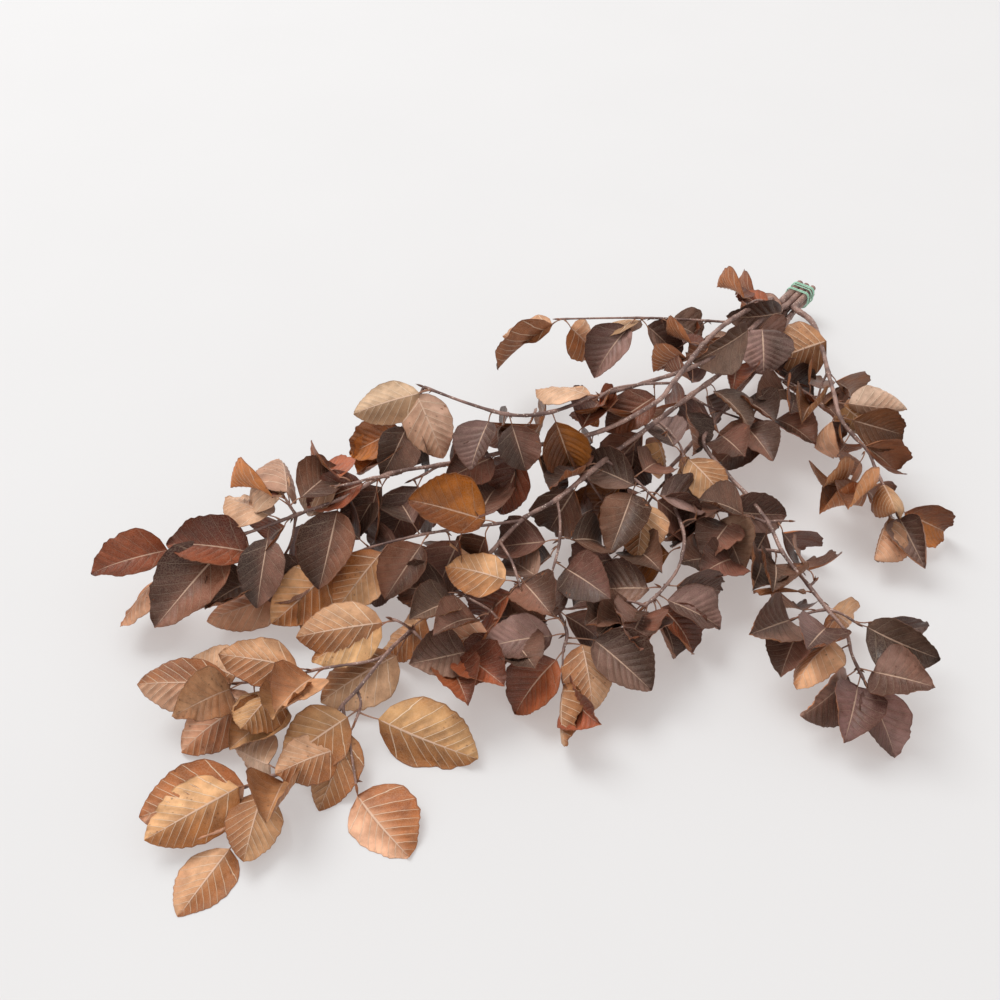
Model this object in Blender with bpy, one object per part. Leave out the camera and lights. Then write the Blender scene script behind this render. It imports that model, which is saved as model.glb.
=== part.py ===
"""A tied bunch of preserved beech branches, lying on a table.

Six cut branches are held by a string near their butts and fan out from it. Each branch is one grown piece:
a woody stem, its side shoots and its leaves. Units are metres. +X runs along the bunch towards the butts,
+Z is up, and the origin is under the middle of the bunch, on the table.
"""

import math

import bmesh
import bpy
import numpy as np
from mathutils import Vector
from mathutils.bvhtree import BVHTree

# Real sizes of the leaves
SHORTEST_BLADE = 0.044
LONGEST_BLADE = 0.092
BLADE_WIDTH = 0.70  # share of the blade's length
LEAST_WIDTH = 0.034
MIDRIB_THICKNESS = 0.0014
EDGE_THICKNESS = 0.0006
STALK_LENGTH = 0.009
LONGEST_STALK = 0.020
STALK_HALF = 0.0007
TOUCHING = 0.0005  # a tip lower than this rests on the table
LYING = 0.75  # how far up a blade must face, to lie flat at its end
EDGE_WAVE = 0.0022  # how far the margin swings up and down
FOLD = math.radians(14)  # how far the two halves rise from the midrib
ARCH = 0.07  # how far the midrib bows, as a share of its length
MOST_RISE = 0.012  # a leaf's tip stands no higher than this above its base

# Real sizes of the wood
BUTT_RADIUS = 0.0030
STEM_TIP_RADIUS = 0.0012
SHOOT_RADIUS = 0.0014
SHOOT_TIP_RADIUS = 0.0009
STEM_SIDES = 6
SHOOT_SIDES = 4
STEM_STEP = 0.038  # length of one straight run of a stem
SHOOT_STEP = 0.026

# The tied bundle: two rows of three stems, one above the other
BUNDLE_END_X = 0.370
BUNDLE_START_X = 0.330
BUNDLE_Y = -0.032
BUNDLE_Z = 0.026
STEM_GAP = 0.0004
STEM_PITCH = 2 * BUTT_RADIUS + STEM_GAP

# The string
STRING_RADIUS = 0.0008
STRING_GAP = 0.0003
STRING_ADVANCES = (0.0018, 0.0018, 0.0070, 0.0018, 0.0018)  # along the bundle, turn by turn
STRING_X = 0.364
STRING_SIDES = 5
POINTS_A_TURN = 16

CLEARANCE = 0.0005  # kept between pieces that are not joined

# Where the photograph was taken from. Points below are read off it as pixels, with a height above the table
# in millimetres, and these turn them into real places.
EYE_HEIGHT = 0.600
EYE_PITCH = math.radians(44)
FOCAL_PIXELS = 1111
PHOTO_MIDDLE = 500
BUNCH_TURN = math.radians(53)  # from the picture's right to the bunch's length
BUNCH_ACROSS, BUNCH_AHEAD = 0.035, 0.600  # from under the eye to the middle of the bunch

# How a leaf lies and looks. TAN and PALE show their underside, the others their upper side.
TAN, PALE, GOLD, DARK, MAUVE, RUST = "tan", "pale", "gold", "dark", "mauve", "rust"
UNDERSIDE_UP = (TAN, PALE)

# Each branch: its stem's route past the string, the leaves on the stem, and its shoots.
# A route is (across, down, height). A leaf is (base across, base down, tip across, tip down, look), and some
# have a width: below 1 the blade is rolled so far that only this share of it shows, above 1 it is broader.
BRANCHES = {
    "branch_back": {
        "slot": (1, 1),
        "stem": [
            (765, 301, 46), (728, 322, 70), (703, 345, 85), (673, 383, 95), (655, 403, 93), (601, 431, 85),
            (539, 445, 80), (490, 455, 80), (440, 465, 80), (388, 474, 80), (345, 497, 75), (296, 515, 70),
            (250, 532, 60), (210, 543, 50), (176, 547, 44),
        ],
        "leaves": [
            (250, 552, 166, 543, RUST), (176, 540, 91, 574, RUST), (168, 572, 121, 627, TAN, 0.55),
            (238, 545, 154, 628, DARK), (342, 502, 322, 590, DARK), (270, 528, 255, 614, DARK),
            (281, 518, 224, 498, PALE), (575, 438, 600, 403, RUST), (536, 446, 572, 508, MAUVE, 1.25),
            (520, 449, 505, 492, DARK), (560, 440, 590, 480, DARK), (525, 450, 500, 515, RUST),
            (600, 432, 580, 470, DARK), (388, 476, 352, 536, DARK),
            (498, 455, 448, 482, DARK), (300, 518, 266, 546, RUST),
        ],
        "shoots": [
            {
                "route": [(728, 322, 70), (695, 320, 76), (650, 318, 80), (610, 318, 80), (560, 319, 76)],
                "leaves": [
                    (708, 330, 672, 352, RUST), (661, 313, 702, 343, MAUVE), (641, 326, 682, 362, MAUVE),
                    (648, 319, 594, 328, PALE, 0.7), (636, 326, 593, 377, MAUVE),
                    (560, 322, 599, 359, TAN, 0.8),
                    (552, 324, 503, 337, TAN), (552, 325, 497, 369, MAUVE, 0.45),
                ],
            },
            {
                "route": [(765, 301, 46), (757, 300, 58), (750, 303, 66)],
                "leaves": [
                    (752, 299, 717, 288, RUST, 0.6), (768, 306, 736, 296, RUST, 0.7),
                    (782, 312, 727, 317, MAUVE, 0.6),
                ],
            },
            {
                "route": [(703, 345, 85), (697, 352, 82), (690, 357, 78)],
                "leaves": [
                    (698, 355, 655, 372, RUST, 0.6), (700, 345, 668, 336, RUST, 0.6),
                    (696, 384, 662, 368, MAUVE, 0.5),
                ],
            },
            {
                "route": [(673, 383, 95), (645, 384, 103), (615, 388, 112), (598, 398, 113)],
                "leaves": [
                    (657, 393, 606, 430, RUST), (598, 395, 537, 391, PALE, 0.75),
                    (612, 398, 598, 420, RUST),
                ],
            },
            {
                "route": [(440, 465, 80), (425, 474, 76), (412, 480, 70)],
                "leaves": [
                    (425, 478, 392, 540, DARK), (412, 484, 432, 528, DARK), (440, 468, 480, 470, GOLD),
                ],
            },
            {
                "route": [(388, 474, 80), (372, 478, 84), (350, 484, 84), (335, 486, 82)],
                "leaves": [
                    (375, 480, 308, 508, RUST), (352, 482, 318, 468, RUST, 0.6), (380, 484, 372, 535, DARK),
                    (350, 490, 300, 500, PALE),
                ],
            },
            {
                "route": [(296, 515, 70), (290, 506, 80), (285, 498, 86)],
                "leaves": [
                    (290, 505, 279, 456, PALE, 0.8), (280, 500, 232, 488, RUST, 0.5),
                    (300, 500, 252, 480, PALE),
                    (296, 502, 338, 470, DARK),
                ],
            },
            {
                "route": [(296, 515, 70), (290, 545, 48), (272, 572, 30), (255, 585, 20)],
                "leaves": [
                    (283, 596, 207, 622, TAN), (270, 580, 207, 606, MAUVE), (290, 570, 318, 560, RUST),
                    (255, 590, 190, 612, DARK),
                ],
            },
        ],
    },
    "branch_upper": {
        "slot": (0, 1),
        "stem": [
            (766, 316, 44), (738, 340, 62), (695, 366, 79), (644, 383, 90), (594, 397, 99), (551, 412, 105),
            (512, 415, 110), (470, 404, 115), (424, 387, 120),
        ],
        "leaves": [
            (428, 401, 353, 412, PALE), (416, 394, 444, 458, PALE), (491, 420, 470, 469, MAUVE),
            (541, 406, 534, 450, MAUVE, 1.5), (556, 414, 568, 444, GOLD), (505, 416, 500, 450, DARK),
            (757, 331, 766, 374, MAUVE, 1.4), (742, 334, 687, 364, MAUVE, 0.6), (590, 400, 620, 420, RUST),
            (540, 412, 520, 450, DARK), (500, 414, 520, 470, DARK),
        ],
        "shoots": [
            {
                "route": [(424, 387, 120), (416, 402, 112), (410, 424, 98)],
                "leaves": [
                    (402, 428, 350, 456, GOLD), (410, 426, 372, 472, DARK), (412, 424, 426, 470, DARK),
                    (405, 442, 358, 474, GOLD),
                ],
            },
        ],
    },
    "branch_main": {
        "slot": (1, -1),
        "stem": [
            (742, 350, 42), (728, 367, 50), (712, 380, 55), (690, 396, 61), (657, 421, 68), (605, 460, 70),
            (557, 499, 70), (523, 519, 62), (490, 553, 46), (440, 605, 28), (412, 630, 27), (388, 652, 36),
            (357, 690, 32), (342, 706, 26), (318, 742, 19), (296, 768, 16), (269, 777, 15), (244, 788, 14),
        ],
        "leaves": [
            (252, 781, 147, 846, TAN), (271, 784, 241, 861, TAN), (256, 775, 139, 817, TAN),
            (281, 770, 238, 752, PALE), (292, 774, 276, 800, DARK),
            (702, 382, 712, 430, MAUVE), (708, 382, 744, 432, MAUVE), (690, 396, 700, 440, DARK),
            (738, 355, 733, 390, RUST), (578, 480, 545, 525, DARK, 1.2), (618, 455, 600, 510, DARK),
            (650, 425, 612, 470, DARK), (640, 435, 640, 490, DARK), (590, 470, 540, 490, DARK),
            (690, 394, 662, 420, RUST), (752, 342, 778, 372, MAUVE), (600, 465, 560, 470, DARK),
        ],
        "shoots": [
            {
                "route": [(357, 690, 32), (361, 704, 28), (355, 722, 22)],
                "leaves": [
                    (352, 729, 319, 811, TAN), (357, 708, 283, 762, TAN, 1.15),
                    (379, 718, 480, 761, TAN, 0.9),
                ],
            },
            {
                "route": [(269, 777, 15), (256, 806, 9), (240, 836, 6)],
                "leaves": [(230, 850, 179, 918, TAN, 1.15)],
            },
            {
                "route": [(342, 706, 26), (350, 745, 16), (356, 784, 9)],
                "leaves": [(358, 796, 410, 858, TAN, 1.35), (348, 745, 290, 768, TAN)],
            },
            {
                "route": [(388, 652, 42), (370, 661, 37), (319, 669, 31), (285, 678, 27), (240, 683, 21)],
                "leaves": [
                    (311, 668, 218, 657, TAN), (233, 688, 137, 686, TAN), (287, 685, 248, 722, TAN),
                    (258, 700, 173, 752, TAN), (250, 672, 193, 657, TAN), (325, 673, 284, 704, DARK),
                    (238, 692, 178, 714, RUST), (290, 720, 230, 750, DARK), (300, 690, 282, 702, DARK),
                ],
            },
            {
                "route": [(412, 630, 46), (400, 622, 44), (392, 619, 42)],
                "leaves": [
                    (397, 618, 296, 636, TAN), (390, 628, 311, 660, TAN), (425, 618, 382, 657, TAN),
                    (394, 660, 322, 704, TAN, 1.1),
                ],
            },
            {
                "route": [
                    (523, 519, 66), (480, 526, 64), (430, 533, 60), (395, 541, 56), (365, 549, 50),
                    (335, 562, 40),
                    (318, 575, 32),
                ],
                "leaves": [
                    (497, 516, 408, 500, GOLD, 1.15), (445, 528, 456, 561, TAN, 1.2),
                    (401, 551, 427, 595, TAN),
                    (392, 551, 335, 610, TAN), (490, 527, 474, 572, DARK), (430, 540, 385, 600, DARK),
                    (465, 535, 440, 590, DARK), (470, 520, 497, 490, DARK),
                    (340, 560, 273, 625, TAN), (325, 580, 312, 626, DARK), (330, 566, 262, 586, DARK),
                    (370, 548, 345, 520, DARK), (420, 535, 398, 500, DARK),
                    (398, 552, 372, 606, DARK), (410, 540, 372, 560, DARK),
                ],
            },
            {
                "route": [(557, 499, 70), (560, 520, 62), (559, 545, 54), (552, 572, 46), (545, 592, 40)],
                "leaves": [
                    (556, 540, 498, 548, DARK), (552, 545, 535, 580, DARK), (548, 583, 505, 558, MAUVE),
                    (562, 568, 604, 592, DARK, 0.7), (560, 540, 600, 545, DARK),
                ],
            },
            {
                "route": [(545, 592, 40), (560, 615, 38), (567, 634, 36), (563, 652, 32), (563, 676, 26)],
                "leaves": [
                    (559, 649, 514, 713, RUST, 1.1), (582, 645, 594, 710, TAN, 1.1),
                    (594, 640, 652, 690, MAUVE, 1.2),
                    (566, 634, 481, 647, MAUVE), (563, 682, 565, 745, TAN, 0.3),
                    (570, 688, 590, 712, RUST, 0.6),
                    (566, 626, 524, 585, MAUVE), (560, 610, 590, 630, DARK), (565, 616, 500, 628, DARK),
                ],
                "from_shoot": True,
            },
            {
                "route": [(500, 542, 58), (512, 562, 54), (520, 586, 50)],
                "leaves": [
                    (517, 590, 445, 566, TAN), (515, 575, 548, 600, DARK), (522, 588, 484, 622, RUST),
                ],
            },
            {
                "route": [(455, 590, 52), (472, 600, 44), (492, 612, 36), (505, 630, 28)],
                "leaves": [
                    (470, 592, 410, 617, MAUVE), (460, 590, 400, 588, DARK), (500, 602, 440, 632, DARK),
                    (487, 632, 430, 652, TAN),
                    (505, 640, 470, 690, RUST), (508, 634, 530, 660, DARK), (498, 615, 540, 610, DARK),
                ],
            },
            {
                "route": [(412, 630, 46), (428, 645, 34), (445, 655, 24)],
                "leaves": [
                    (466, 652, 418, 664, MAUVE), (462, 654, 504, 686, RUST),
                    (450, 656, 466, 698, RUST),
                ],
            },
            {
                "route": [(657, 421, 70), (668, 430, 66), (680, 445, 62), (683, 457, 58)],
                "leaves": [
                    (681, 456, 654, 425, MAUVE), (684, 460, 674, 484, TAN), (658, 440, 657, 486, TAN),
                    (683, 460, 722, 495, TAN),
                ],
            },
            {
                "route": [(605, 460, 70), (622, 470, 64), (638, 482, 60), (650, 494, 56)],
                "leaves": [
                    (646, 490, 581, 463, MAUVE), (649, 496, 634, 557, TAN, 1.2),
                    (630, 492, 616, 546, DARK), (620, 480, 600, 500, DARK),
                    (658, 498, 700, 509, MAUVE), (640, 470, 652, 455, DARK), (655, 500, 690, 530, DARK),
                ],
            },
            {
                "route": [(587, 476, 70), (594, 488, 58), (604, 502, 46)],
                "leaves": [
                    (620, 486, 596, 522, GOLD), (604, 504, 572, 528, DARK), (606, 502, 632, 532, DARK),
                ],
            },
            {
                "route": [(690, 396, 61), (704, 404, 54), (722, 412, 46), (745, 420, 36)],
                "leaves": [
                    (762, 423, 712, 470, DARK), (740, 415, 772, 462, DARK), (720, 412, 680, 430, DARK),
                ],
            },
        ],
    },
    "branch_right": {
        "slot": (-1, -1),
        "stem": [
            (770, 345, 30), (754, 372, 36), (738, 392, 38), (712, 425, 40), (704, 444, 40), (726, 473, 40),
            (746, 494, 40), (768, 522, 40), (783, 553, 40), (809, 586, 42), (828, 610, 42), (846, 632, 40),
            (852, 655, 34), (864, 680, 26),
        ],
        "leaves": [
            (742, 394, 772, 420, DARK), (752, 350, 790, 352, DARK), (770, 365, 805, 385, DARK),
            (745, 497, 712, 518, MAUVE), (808, 598, 757, 592, TAN, 0.6),
            (848, 678, 844, 743, MAUVE), (860, 679, 894, 758, MAUVE), (833, 636, 795, 687, TAN, 0.6),
            (850, 664, 798, 728, MAUVE, 1.3), (862, 669, 908, 675, MAUVE), (822, 602, 850, 626, TAN, 0.7),
            (712, 430, 745, 455, DARK), (836, 618, 812, 642, MAUVE), (850, 645, 808, 668, DARK),
        ],
        "shoots": [
            {
                "route": [(754, 372, 36), (772, 376, 36), (792, 384, 34), (812, 396, 30)],
                "leaves": [
                    (772, 374, 806, 392, DARK), (790, 390, 788, 414, DARK), (812, 396, 838, 420, DARK),
                    (795, 388, 760, 396, DARK), (812, 398, 800, 372, DARK),
                ],
            },
            {
                "route": [(738, 392, 38), (752, 404, 30), (768, 414, 22)],
                "leaves": [(776, 416, 814, 446, DARK), (755, 408, 740, 440, DARK)],
            },
            {
                "route": [(726, 473, 40), (716, 484, 36), (706, 488, 32)],
                "leaves": [
                    (728, 478, 698, 486, DARK), (706, 490, 676, 470, TAN), (704, 490, 694, 520, DARK),
                ],
            },
            {
                "route": [(768, 522, 40), (757, 519, 38), (738, 514, 36), (712, 509, 34)],
                "leaves": [
                    (704, 512, 746, 573, MAUVE, 1.1), (714, 505, 786, 516, MAUVE, 0.7),
                    (712, 512, 675, 540, MAUVE),
                    (735, 516, 705, 560, DARK), (757, 520, 720, 498, DARK),
                ],
            },
            {
                "route": [(768, 522, 40), (778, 521, 38), (788, 521, 36)],
                "leaves": [(776, 524, 790, 554, DARK, 0.8), (768, 526, 752, 556, DARK)],
            },
            {
                "route": [(783, 553, 40), (765, 550, 32), (745, 552, 24), (728, 560, 16)],
                "leaves": [
                    (766, 550, 752, 584, DARK), (728, 560, 696, 560, DARK), (772, 552, 770, 586, DARK),
                    (744, 550, 708, 570, DARK),
                ],
            },
            {
                "route": [(809, 586, 42), (812, 584, 40), (815, 581, 38)],
                "leaves": [(815, 583, 800, 562, MAUVE)],
            },
            {
                "route": [(828, 610, 42), (812, 612, 38), (796, 618, 32)],
                "leaves": [
                    (818, 613, 776, 609, MAUVE, 0.6), (806, 622, 752, 634, MAUVE, 1.1),
                    (802, 626, 776, 655, DARK),
                ],
            },
            {
                "route": [(828, 610, 42), (842, 614, 42), (855, 622, 38)],
                "leaves": [(857, 622, 929, 627, MAUVE, 0.55), (858, 632, 941, 658, MAUVE, 0.75)],
            },
        ],
    },
    "branch_edge": {
        "slot": (-1, 1),
        "stem": [
            (812, 322, 38), (822, 348, 52), (828, 372, 60), (834, 394, 64), (840, 417, 62), (853, 435, 56),
            (868, 451, 50), (876, 470, 44), (888, 494, 36), (896, 512, 28),
        ],
        "leaves": [
            (824, 344, 780, 358, TAN, 1.5), (830, 372, 851, 396, DARK, 0.8), (838, 398, 878, 437, TAN, 0.8),
            (892, 514, 946, 532, GOLD, 0.8), (897, 512, 926, 569, MAUVE, 0.8),
            (888, 508, 876, 560, TAN, 0.6),
            (876, 470, 894, 512, TAN), (845, 400, 906, 408, PALE, 0.5), (848, 415, 902, 434, RUST, 0.6),
            (846, 410, 814, 446, TAN), (850, 432, 836, 452, MAUVE), (866, 448, 858, 476, TAN, 0.7),
            (856, 440, 890, 470, DARK), (880, 480, 850, 510, RUST, 0.7),
        ],
        "shoots": [
            {
                "route": [(876, 470, 44), (862, 480, 34), (850, 492, 24)],
                "leaves": [
                    (852, 488, 832, 486, RUST, 0.5), (862, 506, 820, 512, RUST, 0.5),
                    (862, 482, 870, 504, RUST, 0.6),
                ],
            },
            {
                "route": [(828, 372, 60), (822, 384, 52), (818, 398, 42)],
                "leaves": [(820, 395, 836, 428, DARK), (818, 400, 800, 424, DARK)],
            },
        ],
    },
    "branch_middle": {
        "slot": (0, -1),
        "stem": [
            (770, 350, 14), (740, 385, 14), (705, 428, 18), (682, 455, 30), (667, 474, 42), (672, 500, 44),
            (684, 535, 44), (679, 566, 42), (662, 590, 38), (645, 606, 32),
        ],
        "leaves": [
            (696, 519, 676, 540, MAUVE), (686, 548, 626, 577, GOLD), (672, 592, 722, 591, MAUVE, 0.6),
            (665, 603, 716, 628, MAUVE), (664, 590, 598, 592, MAUVE, 1.1), (652, 606, 632, 634, MAUVE, 1.2),
            (640, 610, 600, 632, DARK), (660, 606, 700, 655, RUST), (652, 606, 676, 648, DARK),
            (645, 606, 640, 640, DARK),
        ],
        "shoots": [
            {
                "route": [(667, 474, 42), (650, 500, 38), (634, 528, 34), (622, 556, 30)],
                "leaves": [
                    (630, 545, 650, 562, DARK), (618, 566, 580, 580, DARK), (640, 525, 612, 535, DARK),
                ],
            },
            {
                "route": [(645, 606, 32), (634, 602, 34), (620, 600, 34)],
                "leaves": [(622, 602, 572, 606, DARK), (620, 604, 596, 632, DARK)],
            },
        ],
    },
}

# Each branch's main colour, and the string's, in linear light
LEAF_COLOURS = {
    "branch_back": (0.13, 0.055, 0.030),
    "branch_upper": (0.20, 0.110, 0.065),
    "branch_main": (0.38, 0.200, 0.085),
    "branch_right": (0.10, 0.055, 0.040),
    "branch_edge": (0.24, 0.120, 0.050),
    "branch_middle": (0.09, 0.040, 0.025),
}
STRING_COLOUR = (0.26, 0.66, 0.44)

# How far a leaf may stray from its first lie, to come clear of its neighbours. The tries stray further and
# further, up to these: its base and tip in pixels, its tip along the line of sight, and its roll and size.
TRIES = 240
BASE_STRAY, TIP_STRAY = 12, 15
SIGHT_STRAY = 0.036
ROLL_STRAY = math.radians(55)
SHRINK_STRAY = 0.36

# The blade's outline: place along the midrib, half width as a share of the greatest. Dark leaves lie inside
# the bunch and have fewer sections.
STATIONS = ((0.10, 0.52), (0.33, 0.96), (0.58, 1.00), (0.82, 0.62))
INNER_STATIONS = ((0.14, 0.64), (0.46, 1.00), (0.78, 0.70))
ONLY_FIRST = 3  # only this many leaves of a list may grow through another of their own branch
PATIENCE = 70  # and they do so when this many tries have found no clear lie


def eye():
    """The eye's place, and the picture's right and ahead directions, in the bunch's frame."""
    right = np.array([math.cos(BUNCH_TURN), -math.sin(BUNCH_TURN), 0.0])
    ahead = np.array([math.sin(BUNCH_TURN), math.cos(BUNCH_TURN), 0.0])
    place = -BUNCH_ACROSS * right - BUNCH_AHEAD * ahead + np.array([0.0, 0.0, EYE_HEIGHT])
    return place, right, ahead


EYE, RIGHT, AHEAD = eye()
UP = np.array([0.0, 0.0, 1.0])
LOOK = AHEAD * math.cos(EYE_PITCH) - UP * math.sin(EYE_PITCH)
HEAD_UP = AHEAD * math.sin(EYE_PITCH) + UP * math.cos(EYE_PITCH)


def sight(across, down):
    """The direction from the eye through a pixel."""
    toward = FOCAL_PIXELS * LOOK + (across - PHOTO_MIDDLE) * RIGHT - (down - PHOTO_MIDDLE) * HEAD_UP
    return toward / np.linalg.norm(toward)


def place(across, down, height_mm):
    """The real place of a pixel at a height above the table."""
    toward = sight(across, down)
    return EYE + toward * ((height_mm / 1000 - EYE[2]) / toward[2])


def pixels(points):
    """Where real places are seen, as pixels."""
    from_eye = np.asarray(points) - EYE
    depth = from_eye @ LOOK
    across = PHOTO_MIDDLE + FOCAL_PIXELS * (from_eye @ RIGHT) / depth
    return np.stack([across, PHOTO_MIDDLE - FOCAL_PIXELS * (from_eye @ HEAD_UP) / depth], axis=-1)


def smooth(points, step):
    """A Catmull-Rom curve through the points, cut into equal runs of about one step."""
    p = np.vstack([2 * points[0] - points[1], points, 2 * points[-1] - points[-2]])
    t = np.linspace(0, 1, 12, endpoint=False)[:, None]
    runs = [
        0.5 * (2 * b + (c - a) * t + (2 * a - 5 * b + 4 * c - d) * t**2 + (3 * b - 3 * c + d - a) * t**3)
        for a, b, c, d in zip(p, p[1:], p[2:], p[3:])
    ]
    fine = np.vstack(runs + [points[-1:]])
    along = np.concatenate([[0], np.cumsum(np.linalg.norm(np.diff(fine, axis=0), axis=1))])
    even = np.linspace(0, along[-1], max(3, round(along[-1] / step) + 1))
    return np.stack([np.interp(even, along, fine[:, i]) for i in range(3)], axis=1)


def unit(vector):
    return vector / np.linalg.norm(vector)


def across_of(vector, axis):
    """The part of a vector that is square to an axis, at unit length."""
    return unit(vector - (vector @ axis) * axis)


def between(first, second, start_a, start_b):
    """Triangles from one ring to the next. A ring may have half as many corners as the one after it."""
    faces = []
    for j in range(second):
        c, d = start_b + (j + 1) % second, start_b + j
        if first == second:
            a, b = start_a + j, start_a + (j + 1) % first
            # On a blade every diagonal runs from the crest or keel to the next margin, alike on both faces.
            faces += [(a, b, c), (a, c, d)] if j % 3 == 2 else [(a, b, d), (b, c, d)]
        elif j % 2 == 0:
            faces.append((start_a + j // 2, c, d))
        else:
            a, b = start_a + j // 2, start_a + (j // 2 + 1) % first
            faces += [(a, b, d), (b, c, d)]
    return faces


def rings_mesh(rings, tip=None):
    """Faces between rings of points, with a flat cap at the first ring and a cap or a point at the last."""
    counts = [len(ring) for ring in rings]
    starts = np.concatenate([[0], np.cumsum(counts)]).tolist()
    points = np.vstack(rings)
    faces = [(0, j + 1, j) for j in range(1, counts[0] - 1)]
    for i in range(len(rings) - 1):
        faces += between(counts[i], counts[i + 1], starts[i], starts[i + 1])
    last, sides = starts[-2], counts[-1]
    if tip is None:
        faces += [(last, last + j, last + j + 1) for j in range(1, sides - 1)]
    else:
        points = np.vstack([points, tip])
        faces += [(last + j, last + (j + 1) % sides, len(points) - 1) for j in range(sides)]
    return points, faces


def tube(centres, radii, sides):
    """A round bar along a line: rings carried along it without twist."""
    heading = np.gradient(centres, axis=0)
    heading /= np.linalg.norm(heading, axis=1)[:, None]
    out = across_of(UP if abs(heading[0][2]) < 0.9 else RIGHT, heading[0])
    rings = []
    angles = np.arange(sides) * 2 * math.pi / sides
    for centre, axis, radius in zip(centres, heading, radii):
        out = across_of(out, axis)
        side = np.cross(axis, out)
        rings.append(centre + radius * (np.cos(angles)[:, None] * out + np.sin(angles)[:, None] * side))
    return rings_mesh(rings)


def wood_radii(centres, first, last):
    """A taper that is slow at first and quick at the tip."""
    share = np.linspace(0, 1, len(centres))
    return last + (first - last) * (1 - share) ** 0.7


def stem_line(branch):
    """A stem's centre line: straight through the bundle, then along its route."""
    row, level = branch["slot"]
    y = BUNDLE_Y + row * STEM_PITCH
    z = BUNDLE_Z + level * STEM_PITCH / 2
    bundle = [np.array([x, y, z]) for x in (BUNDLE_END_X, BUNDLE_START_X)]
    start = np.array(bundle[1])
    route = np.array([start] + [place(*p) for p in branch["stem"]])
    return np.vstack([bundle[0], smooth(route, STEM_STEP)])


def seen_nearest(line, across, down):
    """Where a line passes nearest to a pixel, as seen: (place, index of the run, share of the run)."""
    at = np.array([across, down], float)
    flat = pixels(line)
    best = None
    for i in range(len(line) - 1):
        run = flat[i + 1] - flat[i]
        share = float(np.clip((at - flat[i]) @ run / max(run @ run, 1e-9), 0, 1))
        gap = np.linalg.norm(flat[i] + share * run - at)
        if best is None or gap < best[0]:
            best = (gap, i, share)
    _, i, share = best
    return line[i] + share * (line[i + 1] - line[i]), i, share


def shoot_line(parent, shoot):
    """A shoot's centre line, rooted on its parent's."""
    root, _, _ = seen_nearest(parent, *shoot["route"][0][:2])
    route = np.array([root] + [place(*p) for p in shoot["route"][1:]])
    return smooth(route, SHOOT_STEP)


def leaf_ends(line, pixels_at, sight_step, shrink):
    """(root in the wood, base of the blade, tip) of a leaf whose base and tip are seen at these pixels."""
    base_across, base_down, tip_across, tip_down = pixels_at
    root, run, share = seen_nearest(line, base_across, base_down)
    if run == len(line) - 2 and share > 0.9:
        root = line[-1] + 0.1 * (line[-2] - line[-1])
    if run == 0 and share < 0.05:
        root = line[0] + 0.05 * (line[1] - line[0])
    toward = sight(base_across, base_down)
    base = EYE + toward * ((root - EYE) @ toward)
    stalk = np.linalg.norm(base - root)
    ahead = sight(tip_across, tip_down)
    if stalk < STALK_LENGTH:
        tip = EYE + ahead * ((root - EYE) @ ahead)
        base = root + unit(tip - root) * STALK_LENGTH
    elif stalk > LONGEST_STALK:
        base = root + (base - root) * LONGEST_STALK / stalk
    base[2] = max(base[2], 0.004)
    # The blade lies square to the line of sight, as far as the table and its stiffness let it.
    lowest, highest = 0.0, base[2] + MOST_RISE
    nearest, farthest = (highest - EYE[2]) / ahead[2], (lowest - EYE[2]) / ahead[2]
    reach = float(np.clip((base - EYE) @ ahead + sight_step, nearest, farthest))
    # A blade that looks too short is seen on the slant: its tip hangs down, or stands up where there is no room.
    missing = SHORTEST_BLADE**2 - np.linalg.norm(EYE + ahead * reach - base) ** 2
    if missing > 0:
        slant = math.sqrt(missing)
        reach = reach + slant if reach + slant < farthest else max(reach - slant, nearest)
    tip = EYE + ahead * reach
    length = np.linalg.norm(tip - base)
    wanted = float(np.clip(length, SHORTEST_BLADE, LONGEST_BLADE)) * shrink
    tip = base + (tip - base) * wanted / length
    tip[2] = max(tip[2], lowest)
    return root, base, tip


def lies_of(line, leaf, number):
    """The lies that a leaf may try, straying further and further, as (root, base, tip, roll, breadth)."""
    draw = np.random.default_rng(number)
    width = leaf[5] if len(leaf) > 5 else 1.0
    turned_by = math.acos(min(width, 1.0))
    roll = draw.normal(0, math.radians(9)) + turned_by
    for spread in np.linspace(0, 1, TRIES):
        strays = draw.uniform(-1, 1, 6) * spread
        ends = np.array(leaf[:4]) + strays[:4] * (BASE_STRAY, BASE_STRAY, TIP_STRAY, TIP_STRAY)
        shrink = 1 - SHRINK_STRAY * spread * draw.uniform()
        ends = leaf_ends(line, ends, strays[4] * SIGHT_STRAY, shrink)
        yield (*ends, roll + strays[5] * ROLL_STRAY, max(width, 1.0))


def leaf_axes(base, tip, roll):
    """Along the midrib, across the blade, and out of the side that faces up and towards the eye."""
    along = unit(tip - base)
    facing = across_of(0.55 * UP - 0.45 * LOOK, along)
    side = np.cross(along, facing)
    turned = math.cos(roll) * facing + math.sin(roll) * side
    return along, np.cross(along, turned), turned


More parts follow.
